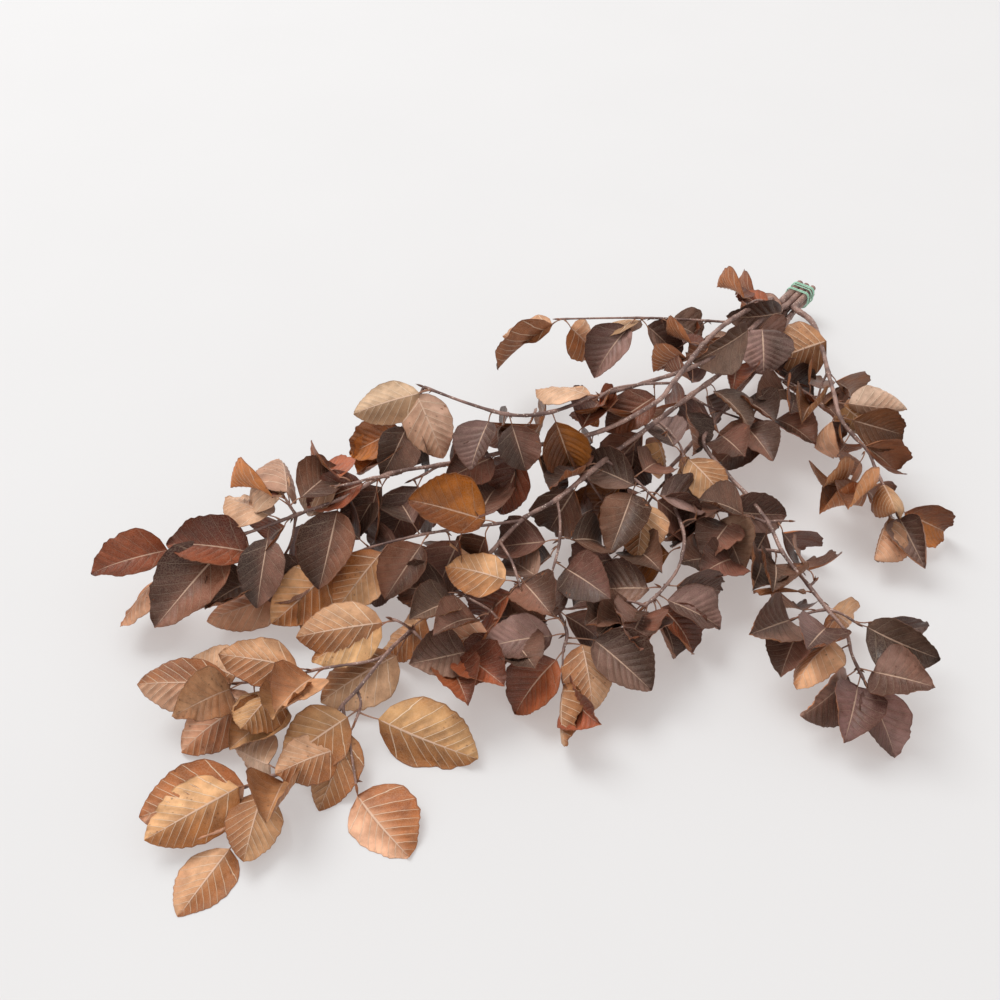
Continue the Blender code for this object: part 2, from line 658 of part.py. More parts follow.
def leaf_mesh(root, base, tip, roll, breadth, look, number, swell=0.0):
    """One leaf: a three-cornered stalk, then six-cornered sections to the tip. Their corners are the left
    margin's lower and upper edge, the crest, the right margin's upper and lower edge, and the keel.
    swell pushes every face outwards, for testing what comes near."""
    draw = np.random.default_rng(1000 + number)
    along, side, up = leaf_axes(base, tip, roll)
    length = np.linalg.norm(tip - base)
    half = max(length * BLADE_WIDTH, LEAST_WIDTH) / 2 * draw.uniform(0.92, 1.06) * breadth
    fold = FOLD * draw.uniform(0.3, 1.5) * (-1 if look in UNDERSIDE_UP else 1)
    arch = ARCH * length * draw.uniform(0.3, 1.5)
    stations = INNER_STATIONS if look == DARK else STATIONS
    wave = draw.uniform(-0.4, 1.0, (len(stations), 2)) * EDGE_WAVE
    middle_half, edge_half = MIDRIB_THICKNESS / 2 + swell, EDGE_THICKNESS / 2 + swell
    stalk_axis = unit(base - root)
    stalk_up = across_of(up if abs(up @ stalk_axis) < 0.95 else side, stalk_axis)
    stalk_side = np.cross(stalk_axis, stalk_up)
    rings = []
    for centre in (root, base):
        rings.append(
            np.array([
                centre + (STALK_HALF + swell) * (math.cos(turn) * stalk_up - math.sin(turn) * stalk_side)
                for turn in np.radians((90, -30, -150))
            ])
        )
    for i, (place_along, width) in enumerate(stations):
        middle = base + along * length * place_along + up * arch * 4 * place_along * (1 - place_along)
        middle[2] = max(middle[2], middle_half)
        reach = half * width + swell
        swings = (-1) ** i * wave[i]
        left = middle - side * reach * math.cos(fold) + up * (reach * math.sin(fold) + swings[0])
        right = middle + side * reach * math.cos(fold) + up * (reach * math.sin(fold) - swings[1])
        left[2], right[2] = max(left[2], edge_half), max(right[2], edge_half)
        corners = [
            left - up * edge_half, left + up * edge_half, middle + up * middle_half,
            right + up * edge_half, right - up * edge_half, middle - up * middle_half,
        ]
        if tip[2] < TOUCHING and up[2] > LYING and i == len(stations) - 1:
            # The end of a blade that lies down is flat on the table.
            for corner, height in zip(corners, (0, 2, 3, 2, 0, 0)):
                corner[2] = height * edge_half
        for corner in corners:
            corner[2] = max(corner[2], 0.0)
        rings.append(np.array(corners))
    return rings_mesh(rings, tip=tip + along * swell)


def tree_of(points, faces):
    return BVHTree.FromPolygons([Vector(p) for p in points], faces, all_triangles=True)


class Neighbours:
    """The solids placed so far, for finding what a new one would cross."""

    def __init__(self):
        self.low, self.high, self.trees, self.owners = [], [], [], []

    def add(self, points, faces, owner):
        self.low.append(points.min(axis=0))
        self.high.append(points.max(axis=0))
        self.trees.append(tree_of(points, faces))
        self.owners.append(owner)

    def crossed(self, points, faces, skip=()):
        """The owners of what this solid crosses, leaving out those in skip."""
        near = np.all((np.array(self.low) <= points.max(axis=0)) & (np.array(self.high) >= points.min(axis=0)), axis=1)
        near = [i for i in np.flatnonzero(near) if self.owners[i] not in skip]
        if not near:
            return []
        tree = tree_of(points, faces)
        return [self.owners[i] for i in near if tree.overlap(self.trees[i])]


def grown(branches):
    """{branch: {"wood": [(points, faces)], "lines": [...], "leaves": [...]}}, with every leaf in a clear lie."""
    placed = Neighbours()
    result, waiting = {}, []
    for name, branch in branches.items():
        stem = stem_line(branch)
        lines = [(stem, wood_radii(stem, BUTT_RADIUS, STEM_TIP_RADIUS), STEM_SIDES, branch["leaves"])]
        for shoot in branch["shoots"]:
            parent = lines[-1][0] if shoot.get("from_shoot") else stem
            line = shoot_line(parent, shoot)
            lines.append((line, wood_radii(line, SHOOT_RADIUS, SHOOT_TIP_RADIUS), SHOOT_SIDES, shoot["leaves"]))
        wood = [tube(line, radii, sides) for line, radii, sides, _ in lines]
        for number, (points, faces) in enumerate(wood):
            placed.add(points, faces, (name, "wood", number))
        result[name] = {"wood": wood, "lines": [line for line, *_ in lines], "leaves": []}
        for number, (line, _, _, leaves) in enumerate(lines):
            waiting += [(rank, name, number, line, leaf) for rank, leaf in enumerate(leaves)]
    # The leaves in sight choose their lie first, and of these the first of every list, which lie on top.
    waiting.sort(key=lambda item: (item[4][4] == DARK, item[0]))
    for count, (rank, name, number, line, leaf) in enumerate(waiting):
        own = (name, "wood", number)
        fallback, tried = None, 0
        for lie in lies_of(line, leaf, count):
            tested = leaf_mesh(*lie, leaf[4], count, swell=CLEARANCE)
            crossed = placed.crossed(*tested, skip=(own,))
            if not crossed:
                fallback = lie
                break
            tried += 1
            may_cross = leaf[4] != DARK and rank < ONLY_FIRST
            if may_cross and fallback is None and all(owner[0] == name for owner in crossed):
                fallback = lie
            if fallback is not None and tried > PATIENCE:
                break
        if fallback is None:
            continue
        points, faces = leaf_mesh(*fallback, leaf[4], count)
        placed.add(points, faces, (name, "leaf", count))
        result[name]["leaves"].append({"lie": fallback, "look": leaf[4], "count": count, "mesh": (points, faces)})
    return result


def material(name, colour, roughness):
    made = bpy.data.materials.new(name)
    made.use_nodes = True
    shader = made.node_tree.nodes["Principled BSDF"]
    shader.inputs["Base Color"].default_value = (*colour, 1)
    shader.inputs["Roughness"].default_value = roughness
    made.diffuse_color = (*colour, 1)
    return made


def solid(name, points, faces, collection):
    """A mesh object of these points and faces, with its faces pointing out."""
    mesh = bpy.data.meshes.new(name)
    mesh.from_pydata([tuple(p) for p in points], [], faces)
    shell = bmesh.new()
    shell.from_mesh(mesh)
    bmesh.ops.recalc_face_normals(shell, faces=shell.faces)
    shell.to_mesh(mesh)
    shell.free()
    made = bpy.data.objects.new(name, mesh)
    collection.objects.link(made)
    return made


def keep_largest(mesh):
    """Leave only the largest connected surface: hollows sealed by the union are filled and scraps dropped."""
    shell = bmesh.new()
    shell.from_mesh(mesh)
    shell.verts.ensure_lookup_table()
    island = [-1] * len(shell.verts)
    sizes = []
    for start in shell.verts:
        if island[start.index] >= 0:
            continue
        island[start.index] = len(sizes)
        reached = [start]
        for vertex in reached:
            for edge in vertex.link_edges:
                other = edge.other_vert(vertex)
                if island[other.index] < 0:
                    island[other.index] = len(sizes)
                    reached.append(other)
        sizes.append(len(reached))
    largest = sizes.index(max(sizes))
    dropped = [vertex for vertex in shell.verts if island[vertex.index] != largest]
    bmesh.ops.delete(shell, geom=dropped, context="VERTS")
    shell.to_mesh(mesh)
    shell.free()


def joined(name, pieces, look):
    """One object made of all these pieces by a Boolean union."""
    scene = bpy.context.scene.collection
    repeats = bpy.data.collections.new(name + "_pieces")
    scene.children.link(repeats)
    body = solid(name, *pieces[0], scene)
    for number, piece in enumerate(pieces[1:]):
        solid(f"{name}_{number}", *piece, repeats)
    union = body.modifiers.new("union", "BOOLEAN")
    union.operation = "UNION"
    union.operand_type = "COLLECTION"
    union.collection = repeats
    union.solver = "MANIFOLD"
    bpy.context.view_layer.update()
    whole = bpy.data.meshes.new_from_object(body.evaluated_get(bpy.context.evaluated_depsgraph_get()))
    body.modifiers.remove(union)
    keep_largest(whole)
    body.data = whole
    for piece in list(repeats.objects):
        bpy.data.objects.remove(piece)
    bpy.data.collections.remove(repeats)
    body.data.materials.clear()
    body.data.materials.append(look)
    return body


def string_line():
    """The string's centre line: turns round the bundle's outline, some side by side and one between them."""
    corner = BUTT_RADIUS + STRING_GAP + STRING_RADIUS * 1.25
    travelled = np.concatenate([[0], np.cumsum(STRING_ADVANCES)])
    points = []
    for i in range(len(STRING_ADVANCES) * POINTS_A_TURN + 1):
        turns = i / POINTS_A_TURN
        angle = 2 * math.pi * (turns + 0.5 / POINTS_A_TURN)
        out = np.array([math.cos(angle), math.sin(angle)])
        # The outline is a rounded rectangle: the outer stems' middles, and a round of this corner about them.
        core = np.array([math.copysign(STEM_PITCH, out[0]), math.copysign(STEM_PITCH / 2, out[1])])
        y, z = core + corner * out
        x = STRING_X - np.interp(turns, range(len(travelled)), travelled)
        points.append((x, BUNDLE_Y + y, BUNDLE_Z + z))
    return np.array(points)


def main():
    for old in list(bpy.data.objects):
        bpy.data.objects.remove(old)
    branches = grown(BRANCHES)
    string = string_line()
    solids = [mesh for parts in branches.values() for mesh in parts["wood"]]
    solids += [leaf["mesh"] for parts in branches.values() for leaf in parts["leaves"]]
    everywhere = np.vstack([points for points, _ in solids])
    low, high = everywhere.min(axis=0), everywhere.max(axis=0)
    middle = np.array([(low[0] + high[0]) / 2, (low[1] + high[1]) / 2, low[2]])
    for name, parts in branches.items():
        pieces = [(points - middle, faces) for points, faces in parts["wood"]]
        pieces += [(leaf["mesh"][0] - middle, leaf["mesh"][1]) for leaf in parts["leaves"]]
        joined(name, pieces, material(name + "_leaves", LEAF_COLOURS[name], 0.55))
    points, faces = tube(string - middle, np.full(len(string), STRING_RADIUS), STRING_SIDES)
    tie = solid("tie_string", points, faces, bpy.context.scene.collection)
    tie.data.materials.append(material("green_string", STRING_COLOUR, 0.5))


if __name__ == "__main__":
    main()
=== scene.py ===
"""A tied bunch of preserved beech branches, dressed for the camera.

Six cut branches lie on a pale table, fanned out from a thin green string round their butts. Each section below
makes one kind of piece: bark, leaf blades with their stalks, buds, the string, then the table and the light.
"""

import math

import bpy
import numpy as np
from mathutils import Matrix, Vector
from mathutils.bvhtree import BVHTree


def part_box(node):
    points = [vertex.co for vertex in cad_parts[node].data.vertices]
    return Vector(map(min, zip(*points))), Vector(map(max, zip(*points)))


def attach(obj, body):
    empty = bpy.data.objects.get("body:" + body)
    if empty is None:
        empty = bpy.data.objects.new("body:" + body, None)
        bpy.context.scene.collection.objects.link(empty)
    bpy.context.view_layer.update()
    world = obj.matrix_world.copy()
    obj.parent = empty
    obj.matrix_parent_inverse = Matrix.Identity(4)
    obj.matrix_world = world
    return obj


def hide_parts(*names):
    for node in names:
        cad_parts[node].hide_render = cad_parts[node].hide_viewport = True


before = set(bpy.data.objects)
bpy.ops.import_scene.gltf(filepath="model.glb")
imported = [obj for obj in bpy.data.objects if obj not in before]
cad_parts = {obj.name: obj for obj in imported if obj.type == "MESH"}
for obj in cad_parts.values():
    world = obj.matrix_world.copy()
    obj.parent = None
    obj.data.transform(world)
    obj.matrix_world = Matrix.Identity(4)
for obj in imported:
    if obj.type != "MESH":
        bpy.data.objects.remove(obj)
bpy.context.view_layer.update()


# The eye. The photograph was taken from 0.6 m above the table, looking down at 44 degrees. The bunch's own
# frame is turned against the picture, and its zero is under the middle of the bunch, which the string's place
# in the frame gives.
EYE_HEIGHT = 0.600
EYE_PITCH = math.radians(44)
FOCAL_PIXELS = 1111
PHOTO_MIDDLE = 500
SENSOR_MM = 36
BUNCH_TURN = math.radians(53)
BUNCH_ACROSS, BUNCH_AHEAD = 0.035, 0.600

RIGHT = np.array([math.cos(BUNCH_TURN), -math.sin(BUNCH_TURN), 0.0])
AHEAD = np.array([math.sin(BUNCH_TURN), math.cos(BUNCH_TURN), 0.0])
UP = np.array([0.0, 0.0, 1.0])
EYE = -BUNCH_ACROSS * RIGHT - BUNCH_AHEAD * AHEAD + EYE_HEIGHT * UP
LOOK = AHEAD * math.cos(EYE_PITCH) - UP * math.sin(EYE_PITCH)
HEAD_UP = AHEAD * math.sin(EYE_PITCH) + UP * math.cos(EYE_PITCH)

# The tied bundle: two rows of three stems, and the string's turns round them
BUTT_RADIUS = 0.0030
BUNDLE_END_X = 0.370
BUNDLE_START_X = 0.330
BUNDLE_Y = -0.032
BUNDLE_Z = 0.026
STEM_PITCH = 2 * BUTT_RADIUS + 0.0004
STRING_RADIUS = 0.0008
STRING_GAP = 0.0003
STRING_ADVANCES = (0.0018, 0.0018, 0.0070, 0.0018, 0.0018)
STRING_X = 0.364


def string_line(points_a_turn):
    """The string's centre line: it turns about the bundle's axis, and each point is the outline's core corner
    plus a round. The outline is a rounded rectangle about the outer stems' middles."""
    corner = BUTT_RADIUS + STRING_GAP + STRING_RADIUS * 1.25
    travelled = np.concatenate([[0], np.cumsum(STRING_ADVANCES)])
    turns = np.arange(len(STRING_ADVANCES) * points_a_turn + 1) / points_a_turn
    angle = 2 * math.pi * (turns + 0.5 / points_a_turn)
    out = np.stack([np.cos(angle), np.sin(angle)], axis=1)
    core = np.copysign([STEM_PITCH, STEM_PITCH / 2], out)
    y, z = (core + corner * out).T
    x = STRING_X - np.interp(turns, range(len(travelled)), travelled)
    return np.stack([x, BUNDLE_Y + y, BUNDLE_Z + z], axis=1)


CAD_TURN_POINTS = 16
plain_string = string_line(CAD_TURN_POINTS)
string_low, string_high = (np.array(corner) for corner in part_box("tie_string"))
SHIFT = (string_low + string_high - plain_string.min(axis=0) - plain_string.max(axis=0)) / 2
SHIFT[2] = 0.0

camera = bpy.data.objects.new("camera", bpy.data.cameras.new("camera"))
camera.data.sensor_width = SENSOR_MM
camera.data.lens = FOCAL_PIXELS * SENSOR_MM / (2 * PHOTO_MIDDLE)
camera.data.clip_start = 0.01
camera_turn = Matrix(np.stack([RIGHT, HEAD_UP, -LOOK], axis=1)).to_4x4()
camera.matrix_world = Matrix.Translation(EYE + SHIFT) @ camera_turn
bpy.context.scene.collection.objects.link(camera)
bpy.context.scene.camera = camera


# The branches' layout. A route is (across, down, height): pixels of the photograph, read off, and the
# height above the table in millimetres. A leaf is (base across, base down, tip across, tip down, look), and
# some have a width: below 1 the blade is rolled so far that only this share of it shows, above 1 it is broader.
# TAN and PALE show their underside, the others their upper side.
# The mauve leaves are dark brown, with their colour lightened to grey-mauve as a painted sheen.
TAN, PALE, GOLD, DARK, MAUVE_SHEEN, RUST = "tan", "pale", "gold", "dark", "mauve", "rust"
UNDERSIDE_UP = (TAN, PALE)
BRANCHES = {
    "branch_back": {
        "slot": (1, 1),
        "stem": [
            (765, 301, 46), (728, 322, 70), (703, 345, 85), (673, 383, 95), (655, 403, 93), (601, 431, 85),
            (539, 445, 80), (490, 455, 80), (440, 465, 80), (388, 474, 80), (345, 497, 75), (296, 515, 70),
            (250, 532, 60), (210, 543, 50), (176, 547, 44),
        ],
        "leaves": [
            (250, 552, 166, 543, RUST), (176, 540, 91, 574, RUST), (168, 572, 121, 627, TAN, 0.55),
            (238, 545, 154, 628, DARK), (342, 502, 322, 590, DARK), (270, 528, 255, 614, DARK),
            (281, 518, 224, 498, PALE), (575, 438, 600, 403, RUST), (536, 446, 572, 508, MAUVE_SHEEN, 1.25),
            (520, 449, 505, 492, DARK), (560, 440, 590, 480, DARK), (525, 450, 500, 515, RUST),
            (600, 432, 580, 470, DARK), (388, 476, 352, 536, DARK),
            (498, 455, 448, 482, DARK), (300, 518, 266, 546, RUST),
        ],
        "shoots": [
            {
                "route": [(728, 322, 70), (695, 320, 76), (650, 318, 80), (610, 318, 80), (560, 319, 76)],
                "leaves": [
                    (708, 330, 672, 352, RUST), (661, 313, 702, 343, MAUVE_SHEEN), (641, 326, 682, 362, MAUVE_SHEEN),
                    (648, 319, 594, 328, PALE, 0.7), (636, 326, 593, 377, MAUVE_SHEEN),
                    (560, 322, 599, 359, TAN, 0.8),
                    (552, 324, 503, 337, TAN), (552, 325, 497, 369, MAUVE_SHEEN, 0.45),
                ],
            },
            {
                "route": [(765, 301, 46), (757, 300, 58), (750, 303, 66)],
                "leaves": [
                    (752, 299, 717, 288, RUST, 0.6), (768, 306, 736, 296, RUST, 0.7),
                    (782, 312, 727, 317, MAUVE_SHEEN, 0.6),
                ],
            },
            {
                "route": [(703, 345, 85), (697, 352, 82), (690, 357, 78)],
                "leaves": [
                    (698, 355, 655, 372, RUST, 0.6), (700, 345, 668, 336, RUST, 0.6),
                    (696, 384, 662, 368, MAUVE_SHEEN, 0.5),
                ],
            },
            {
                "route": [(673, 383, 95), (645, 384, 103), (615, 388, 112), (598, 398, 113)],
                "leaves": [
                    (657, 393, 606, 430, RUST), (598, 395, 537, 391, PALE, 0.75),
                    (612, 398, 598, 420, RUST),
                ],
            },
            {
                "route": [(440, 465, 80), (425, 474, 76), (412, 480, 70)],
                "leaves": [
                    (425, 478, 392, 540, DARK), (412, 484, 432, 528, DARK), (440, 468, 480, 470, GOLD),
                ],
            },
            {
                "route": [(388, 474, 80), (372, 478, 84), (350, 484, 84), (335, 486, 82)],
                "leaves": [
                    (375, 480, 308, 508, RUST), (352, 482, 318, 468, RUST, 0.6), (380, 484, 372, 535, DARK),
                    (350, 490, 300, 500, PALE),
                ],
            },
            {
                "route": [(296, 515, 70), (290, 506, 80), (285, 498, 86)],
                "leaves": [
                    (290, 505, 279, 456, PALE, 0.8), (280, 500, 232, 488, RUST, 0.5),
                    (300, 500, 252, 480, PALE),
                    (296, 502, 338, 470, DARK),
                ],
            },
            {
                "route": [(296, 515, 70), (290, 545, 48), (272, 572, 30), (255, 585, 20)],
                "leaves": [
                    (283, 596, 207, 622, TAN), (270, 580, 207, 606, MAUVE_SHEEN), (290, 570, 318, 560, RUST),
                    (255, 590, 190, 612, DARK),
                ],
            },
        ],
    },
    "branch_upper": {
        "slot": (0, 1),
        "stem": [
            (766, 316, 44), (738, 340, 62), (695, 366, 79), (644, 383, 90), (594, 397, 99), (551, 412, 105),
            (512, 415, 110), (470, 404, 115), (424, 387, 120),
        ],
        "leaves": [
            (428, 401, 353, 412, PALE), (416, 394, 444, 458, PALE), (491, 420, 470, 469, MAUVE_SHEEN),
            (541, 406, 534, 450, MAUVE_SHEEN, 1.5), (556, 414, 568, 444, GOLD), (505, 416, 500, 450, DARK),
            (757, 331, 766, 374, MAUVE_SHEEN, 1.4), (742, 334, 687, 364, MAUVE_SHEEN, 0.6), (590, 400, 620, 420, RUST),
            (540, 412, 520, 450, DARK), (500, 414, 520, 470, DARK),
        ],
        "shoots": [
            {
                "route": [(424, 387, 120), (416, 402, 112), (410, 424, 98)],
                "leaves": [
                    (402, 428, 350, 456, GOLD), (410, 426, 372, 472, DARK), (412, 424, 426, 470, DARK),
                    (405, 442, 358, 474, GOLD),
                ],
            },
        ],
    },
    "branch_main": {
        "slot": (1, -1),
        "stem": [
            (742, 350, 42), (728, 367, 50), (712, 380, 55), (690, 396, 61), (657, 421, 68), (605, 460, 70),
            (557, 499, 70), (523, 519, 62), (490, 553, 46), (440, 605, 28), (412, 630, 27), (388, 652, 36),
            (357, 690, 32), (342, 706, 26), (318, 742, 19), (296, 768, 16), (269, 777, 15), (244, 788, 14),
        ],
        "leaves": [
            (252, 781, 147, 846, TAN), (271, 784, 241, 861, TAN), (256, 775, 139, 817, TAN),
            (281, 770, 238, 752, PALE), (292, 774, 276, 800, DARK),
            (702, 382, 712, 430, MAUVE_SHEEN), (708, 382, 744, 432, MAUVE_SHEEN), (690, 396, 700, 440, DARK),
            (738, 355, 733, 390, RUST), (578, 480, 545, 525, DARK, 1.2), (618, 455, 600, 510, DARK),
            (650, 425, 612, 470, DARK), (640, 435, 640, 490, DARK), (590, 470, 540, 490, DARK),
            (690, 394, 662, 420, RUST), (752, 342, 778, 372, MAUVE_SHEEN), (600, 465, 560, 470, DARK),
        ],
        "shoots": [
            {
                "route": [(357, 690, 32), (361, 704, 28), (355, 722, 22)],
                "leaves": [
                    (352, 729, 319, 811, TAN), (357, 708, 283, 762, TAN, 1.15),
                    (379, 718, 480, 761, TAN, 0.9),
                ],
            },
            {
                "route": [(269, 777, 15), (256, 806, 9), (240, 836, 6)],
                "leaves": [(230, 850, 179, 918, TAN, 1.15)],
            },
            {
                "route": [(342, 706, 26), (350, 745, 16), (356, 784, 9)],
                "leaves": [(358, 796, 410, 858, TAN, 1.35), (348, 745, 290, 768, TAN)],
            },
            {
                "route": [(388, 652, 42), (370, 661, 37), (319, 669, 31), (285, 678, 27), (240, 683, 21)],
                "leaves": [
                    (311, 668, 218, 657, TAN), (233, 688, 137, 686, TAN), (287, 685, 248, 722, TAN),
                    (258, 700, 173, 752, TAN), (250, 672, 193, 657, TAN), (325, 673, 284, 704, DARK),
                    (238, 692, 178, 714, RUST), (290, 720, 230, 750, DARK), (300, 690, 282, 702, DARK),
                ],
            },
            {
                "route": [(412, 630, 46), (400, 622, 44), (392, 619, 42)],
                "leaves": [
                    (397, 618, 296, 636, TAN), (390, 628, 311, 660, TAN), (425, 618, 382, 657, TAN),
                    (394, 660, 322, 704, TAN, 1.1),
                ],
            },
            {
                "route": [
                    (523, 519, 66), (480, 526, 64), (430, 533, 60), (395, 541, 56), (365, 549, 50),
                    (335, 562, 40),
                    (318, 575, 32),
                ],
                "leaves": [
                    (497, 516, 408, 500, GOLD, 1.15), (445, 528, 456, 561, TAN, 1.2),
                    (401, 551, 427, 595, TAN),
                    (392, 551, 335, 610, TAN), (490, 527, 474, 572, DARK), (430, 540, 385, 600, DARK),
                    (465, 535, 440, 590, DARK), (470, 520, 497, 490, DARK),
                    (340, 560, 273, 625, TAN), (325, 580, 312, 626, DARK), (330, 566, 262, 586, DARK),
                    (370, 548, 345, 520, DARK), (420, 535, 398, 500, DARK),
                    (398, 552, 372, 606, DARK), (410, 540, 372, 560, DARK),
                ],
            },
            {
                "route": [(557, 499, 70), (560, 520, 62), (559, 545, 54), (552, 572, 46), (545, 592, 40)],
                "leaves": [
                    (556, 540, 498, 548, DARK), (552, 545, 535, 580, DARK), (548, 583, 505, 558, MAUVE_SHEEN),
                    (562, 568, 604, 592, DARK, 0.7), (560, 540, 600, 545, DARK),
                ],
            },
            {
                "route": [(545, 592, 40), (560, 615, 38), (567, 634, 36), (563, 652, 32), (563, 676, 26)],
                "leaves": [
                    (559, 649, 514, 713, RUST, 1.1), (582, 645, 594, 710, TAN, 1.1),
                    (594, 640, 652, 690, MAUVE_SHEEN, 1.2),
                    (566, 634, 481, 647, MAUVE_SHEEN), (563, 682, 565, 745, TAN, 0.3),
                    (570, 688, 590, 712, RUST, 0.6),
                    (566, 626, 524, 585, MAUVE_SHEEN), (560, 610, 590, 630, DARK), (565, 616, 500, 628, DARK),
                ],
                "from_shoot": True,
            },
            {
                "route": [(500, 542, 58), (512, 562, 54), (520, 586, 50)],
                "leaves": [
                    (517, 590, 445, 566, TAN), (515, 575, 548, 600, DARK), (522, 588, 484, 622, RUST),
                ],
            },
            {
                "route": [(455, 590, 52), (472, 600, 44), (492, 612, 36), (505, 630, 28)],
                "leaves": [
                    (470, 592, 410, 617, MAUVE_SHEEN), (460, 590, 400, 588, DARK), (500, 602, 440, 632, DARK),
                    (487, 632, 430, 652, TAN),
                    (505, 640, 470, 690, RUST), (508, 634, 530, 660, DARK), (498, 615, 540, 610, DARK),
                ],
            },
            {
                "route": [(412, 630, 46), (428, 645, 34), (445, 655, 24)],
                "leaves": [
                    (466, 652, 418, 664, MAUVE_SHEEN), (462, 654, 504, 686, RUST),
                    (450, 656, 466, 698, RUST),
                ],
            },
            {
                "route": [(657, 421, 70), (668, 430, 66), (680, 445, 62), (683, 457, 58)],
                "leaves": [
                    (681, 456, 654, 425, MAUVE_SHEEN), (684, 460, 674, 484, TAN), (658, 440, 657, 486, TAN),
                    (683, 460, 722, 495, TAN),
                ],
            },
            {
                "route": [(605, 460, 70), (622, 470, 64), (638, 482, 60), (650, 494, 56)],
                "leaves": [
                    (646, 490, 581, 463, MAUVE_SHEEN), (649, 496, 634, 557, TAN, 1.2),
                    (630, 492, 616, 546, DARK), (620, 480, 600, 500, DARK),
                    (658, 498, 700, 509, MAUVE_SHEEN), (640, 470, 652, 455, DARK), (655, 500, 690, 530, DARK),
                ],
            },
            {
                "route": [(587, 476, 70), (594, 488, 58), (604, 502, 46)],
                "leaves": [
                    (620, 486, 596, 522, GOLD), (604, 504, 572, 528, DARK), (606, 502, 632, 532, DARK),
                ],
            },
            {
                "route": [(690, 396, 61), (704, 404, 54), (722, 412, 46), (745, 420, 36)],
                "leaves": [
                    (762, 423, 712, 470, DARK), (740, 415, 772, 462, DARK), (720, 412, 680, 430, DARK),
                ],
            },
        ],
    },
    "branch_right": {
        "slot": (-1, -1),
        "stem": [
            (770, 345, 30), (754, 372, 36), (738, 392, 38), (712, 425, 40), (704, 444, 40), (726, 473, 40),
            (746, 494, 40), (768, 522, 40), (783, 553, 40), (809, 586, 42), (828, 610, 42), (846, 632, 40),
            (852, 655, 34), (864, 680, 26),
        ],
        "leaves": [
            (742, 394, 772, 420, DARK), (752, 350, 790, 352, DARK), (770, 365, 805, 385, DARK),
            (745, 497, 712, 518, MAUVE_SHEEN), (808, 598, 757, 592, TAN, 0.6),
            (848, 678, 844, 743, MAUVE_SHEEN), (860, 679, 894, 758, MAUVE_SHEEN), (833, 636, 795, 687, TAN, 0.6),
            (850, 664, 798, 728, MAUVE_SHEEN, 1.3), (862, 669, 908, 675, MAUVE_SHEEN), (822, 602, 850, 626, TAN, 0.7),
            (712, 430, 745, 455, DARK), (836, 618, 812, 642, MAUVE_SHEEN), (850, 645, 808, 668, DARK),
        ],
        "shoots": [
            {
                "route": [(754, 372, 36), (772, 376, 36), (792, 384, 34), (812, 396, 30)],
                "leaves": [
                    (772, 374, 806, 392, DARK), (790, 390, 788, 414, DARK), (812, 396, 838, 420, DARK),
                    (795, 388, 760, 396, DARK), (812, 398, 800, 372, DARK),
                ],
            },
            {
                "route": [(738, 392, 38), (752, 404, 30), (768, 414, 22)],
                "leaves": [(776, 416, 814, 446, DARK), (755, 408, 740, 440, DARK)],
            },
            {
                "route": [(726, 473, 40), (716, 484, 36), (706, 488, 32)],
                "leaves": [
                    (728, 478, 698, 486, DARK), (706, 490, 676, 470, TAN), (704, 490, 694, 520, DARK),
                ],
            },
            {
                "route": [(768, 522, 40), (757, 519, 38), (738, 514, 36), (712, 509, 34)],
                "leaves": [
                    (704, 512, 746, 573, MAUVE_SHEEN, 1.1), (714, 505, 786, 516, MAUVE_SHEEN, 0.7),
                    (712, 512, 675, 540, MAUVE_SHEEN),
                    (735, 516, 705, 560, DARK), (757, 520, 720, 498, DARK),
                ],
            },
            {
                "route": [(768, 522, 40), (778, 521, 38), (788, 521, 36)],
                "leaves": [(776, 524, 790, 554, DARK, 0.8), (768, 526, 752, 556, DARK)],
            },
            {
                "route": [(783, 553, 40), (765, 550, 32), (745, 552, 24), (728, 560, 16)],
                "leaves": [
                    (766, 550, 752, 584, DARK), (728, 560, 696, 560, DARK), (772, 552, 770, 586, DARK),
                    (744, 550, 708, 570, DARK),
                ],
            },
            {
                "route": [(809, 586, 42), (812, 584, 40), (815, 581, 38)],
                "leaves": [(815, 583, 800, 562, MAUVE_SHEEN)],
            },
            {
                "route": [(828, 610, 42), (812, 612, 38), (796, 618, 32)],
                "leaves": [
                    (818, 613, 776, 609, MAUVE_SHEEN, 0.6), (806, 622, 752, 634, MAUVE_SHEEN, 1.1),
                    (802, 626, 776, 655, DARK),
                ],
            },
            {
                "route": [(828, 610, 42), (842, 614, 42), (855, 622, 38)],
                "leaves": [(857, 622, 929, 627, MAUVE_SHEEN, 0.55), (858, 632, 941, 658, MAUVE_SHEEN, 0.75)],
            },
        ],
    },
    "branch_edge": {
        "slot": (-1, 1),
        "stem": [
            (812, 322, 38), (822, 348, 52), (828, 372, 60), (834, 394, 64), (840, 417, 62), (853, 435, 56),
            (868, 451, 50), (876, 470, 44), (888, 494, 36), (896, 512, 28),
        ],
        "leaves": [
            (824, 344, 780, 358, TAN, 1.5), (830, 372, 851, 396, DARK, 0.8), (838, 398, 878, 437, TAN, 0.8),
            (892, 514, 946, 532, GOLD, 0.8), (897, 512, 926, 569, MAUVE_SHEEN, 0.8),
            (888, 508, 876, 560, TAN, 0.6),
            (876, 470, 894, 512, TAN), (845, 400, 906, 408, PALE, 0.5), (848, 415, 902, 434, RUST, 0.6),
            (846, 410, 814, 446, TAN), (850, 432, 836, 452, MAUVE_SHEEN), (866, 448, 858, 476, TAN, 0.7),
            (856, 440, 890, 470, DARK), (880, 480, 850, 510, RUST, 0.7),
        ],
        "shoots": [
            {
                "route": [(876, 470, 44), (862, 480, 34), (850, 492, 24)],
                "leaves": [
                    (852, 488, 832, 486, RUST, 0.5), (862, 506, 820, 512, RUST, 0.5),
                    (862, 482, 870, 504, RUST, 0.6),
                ],
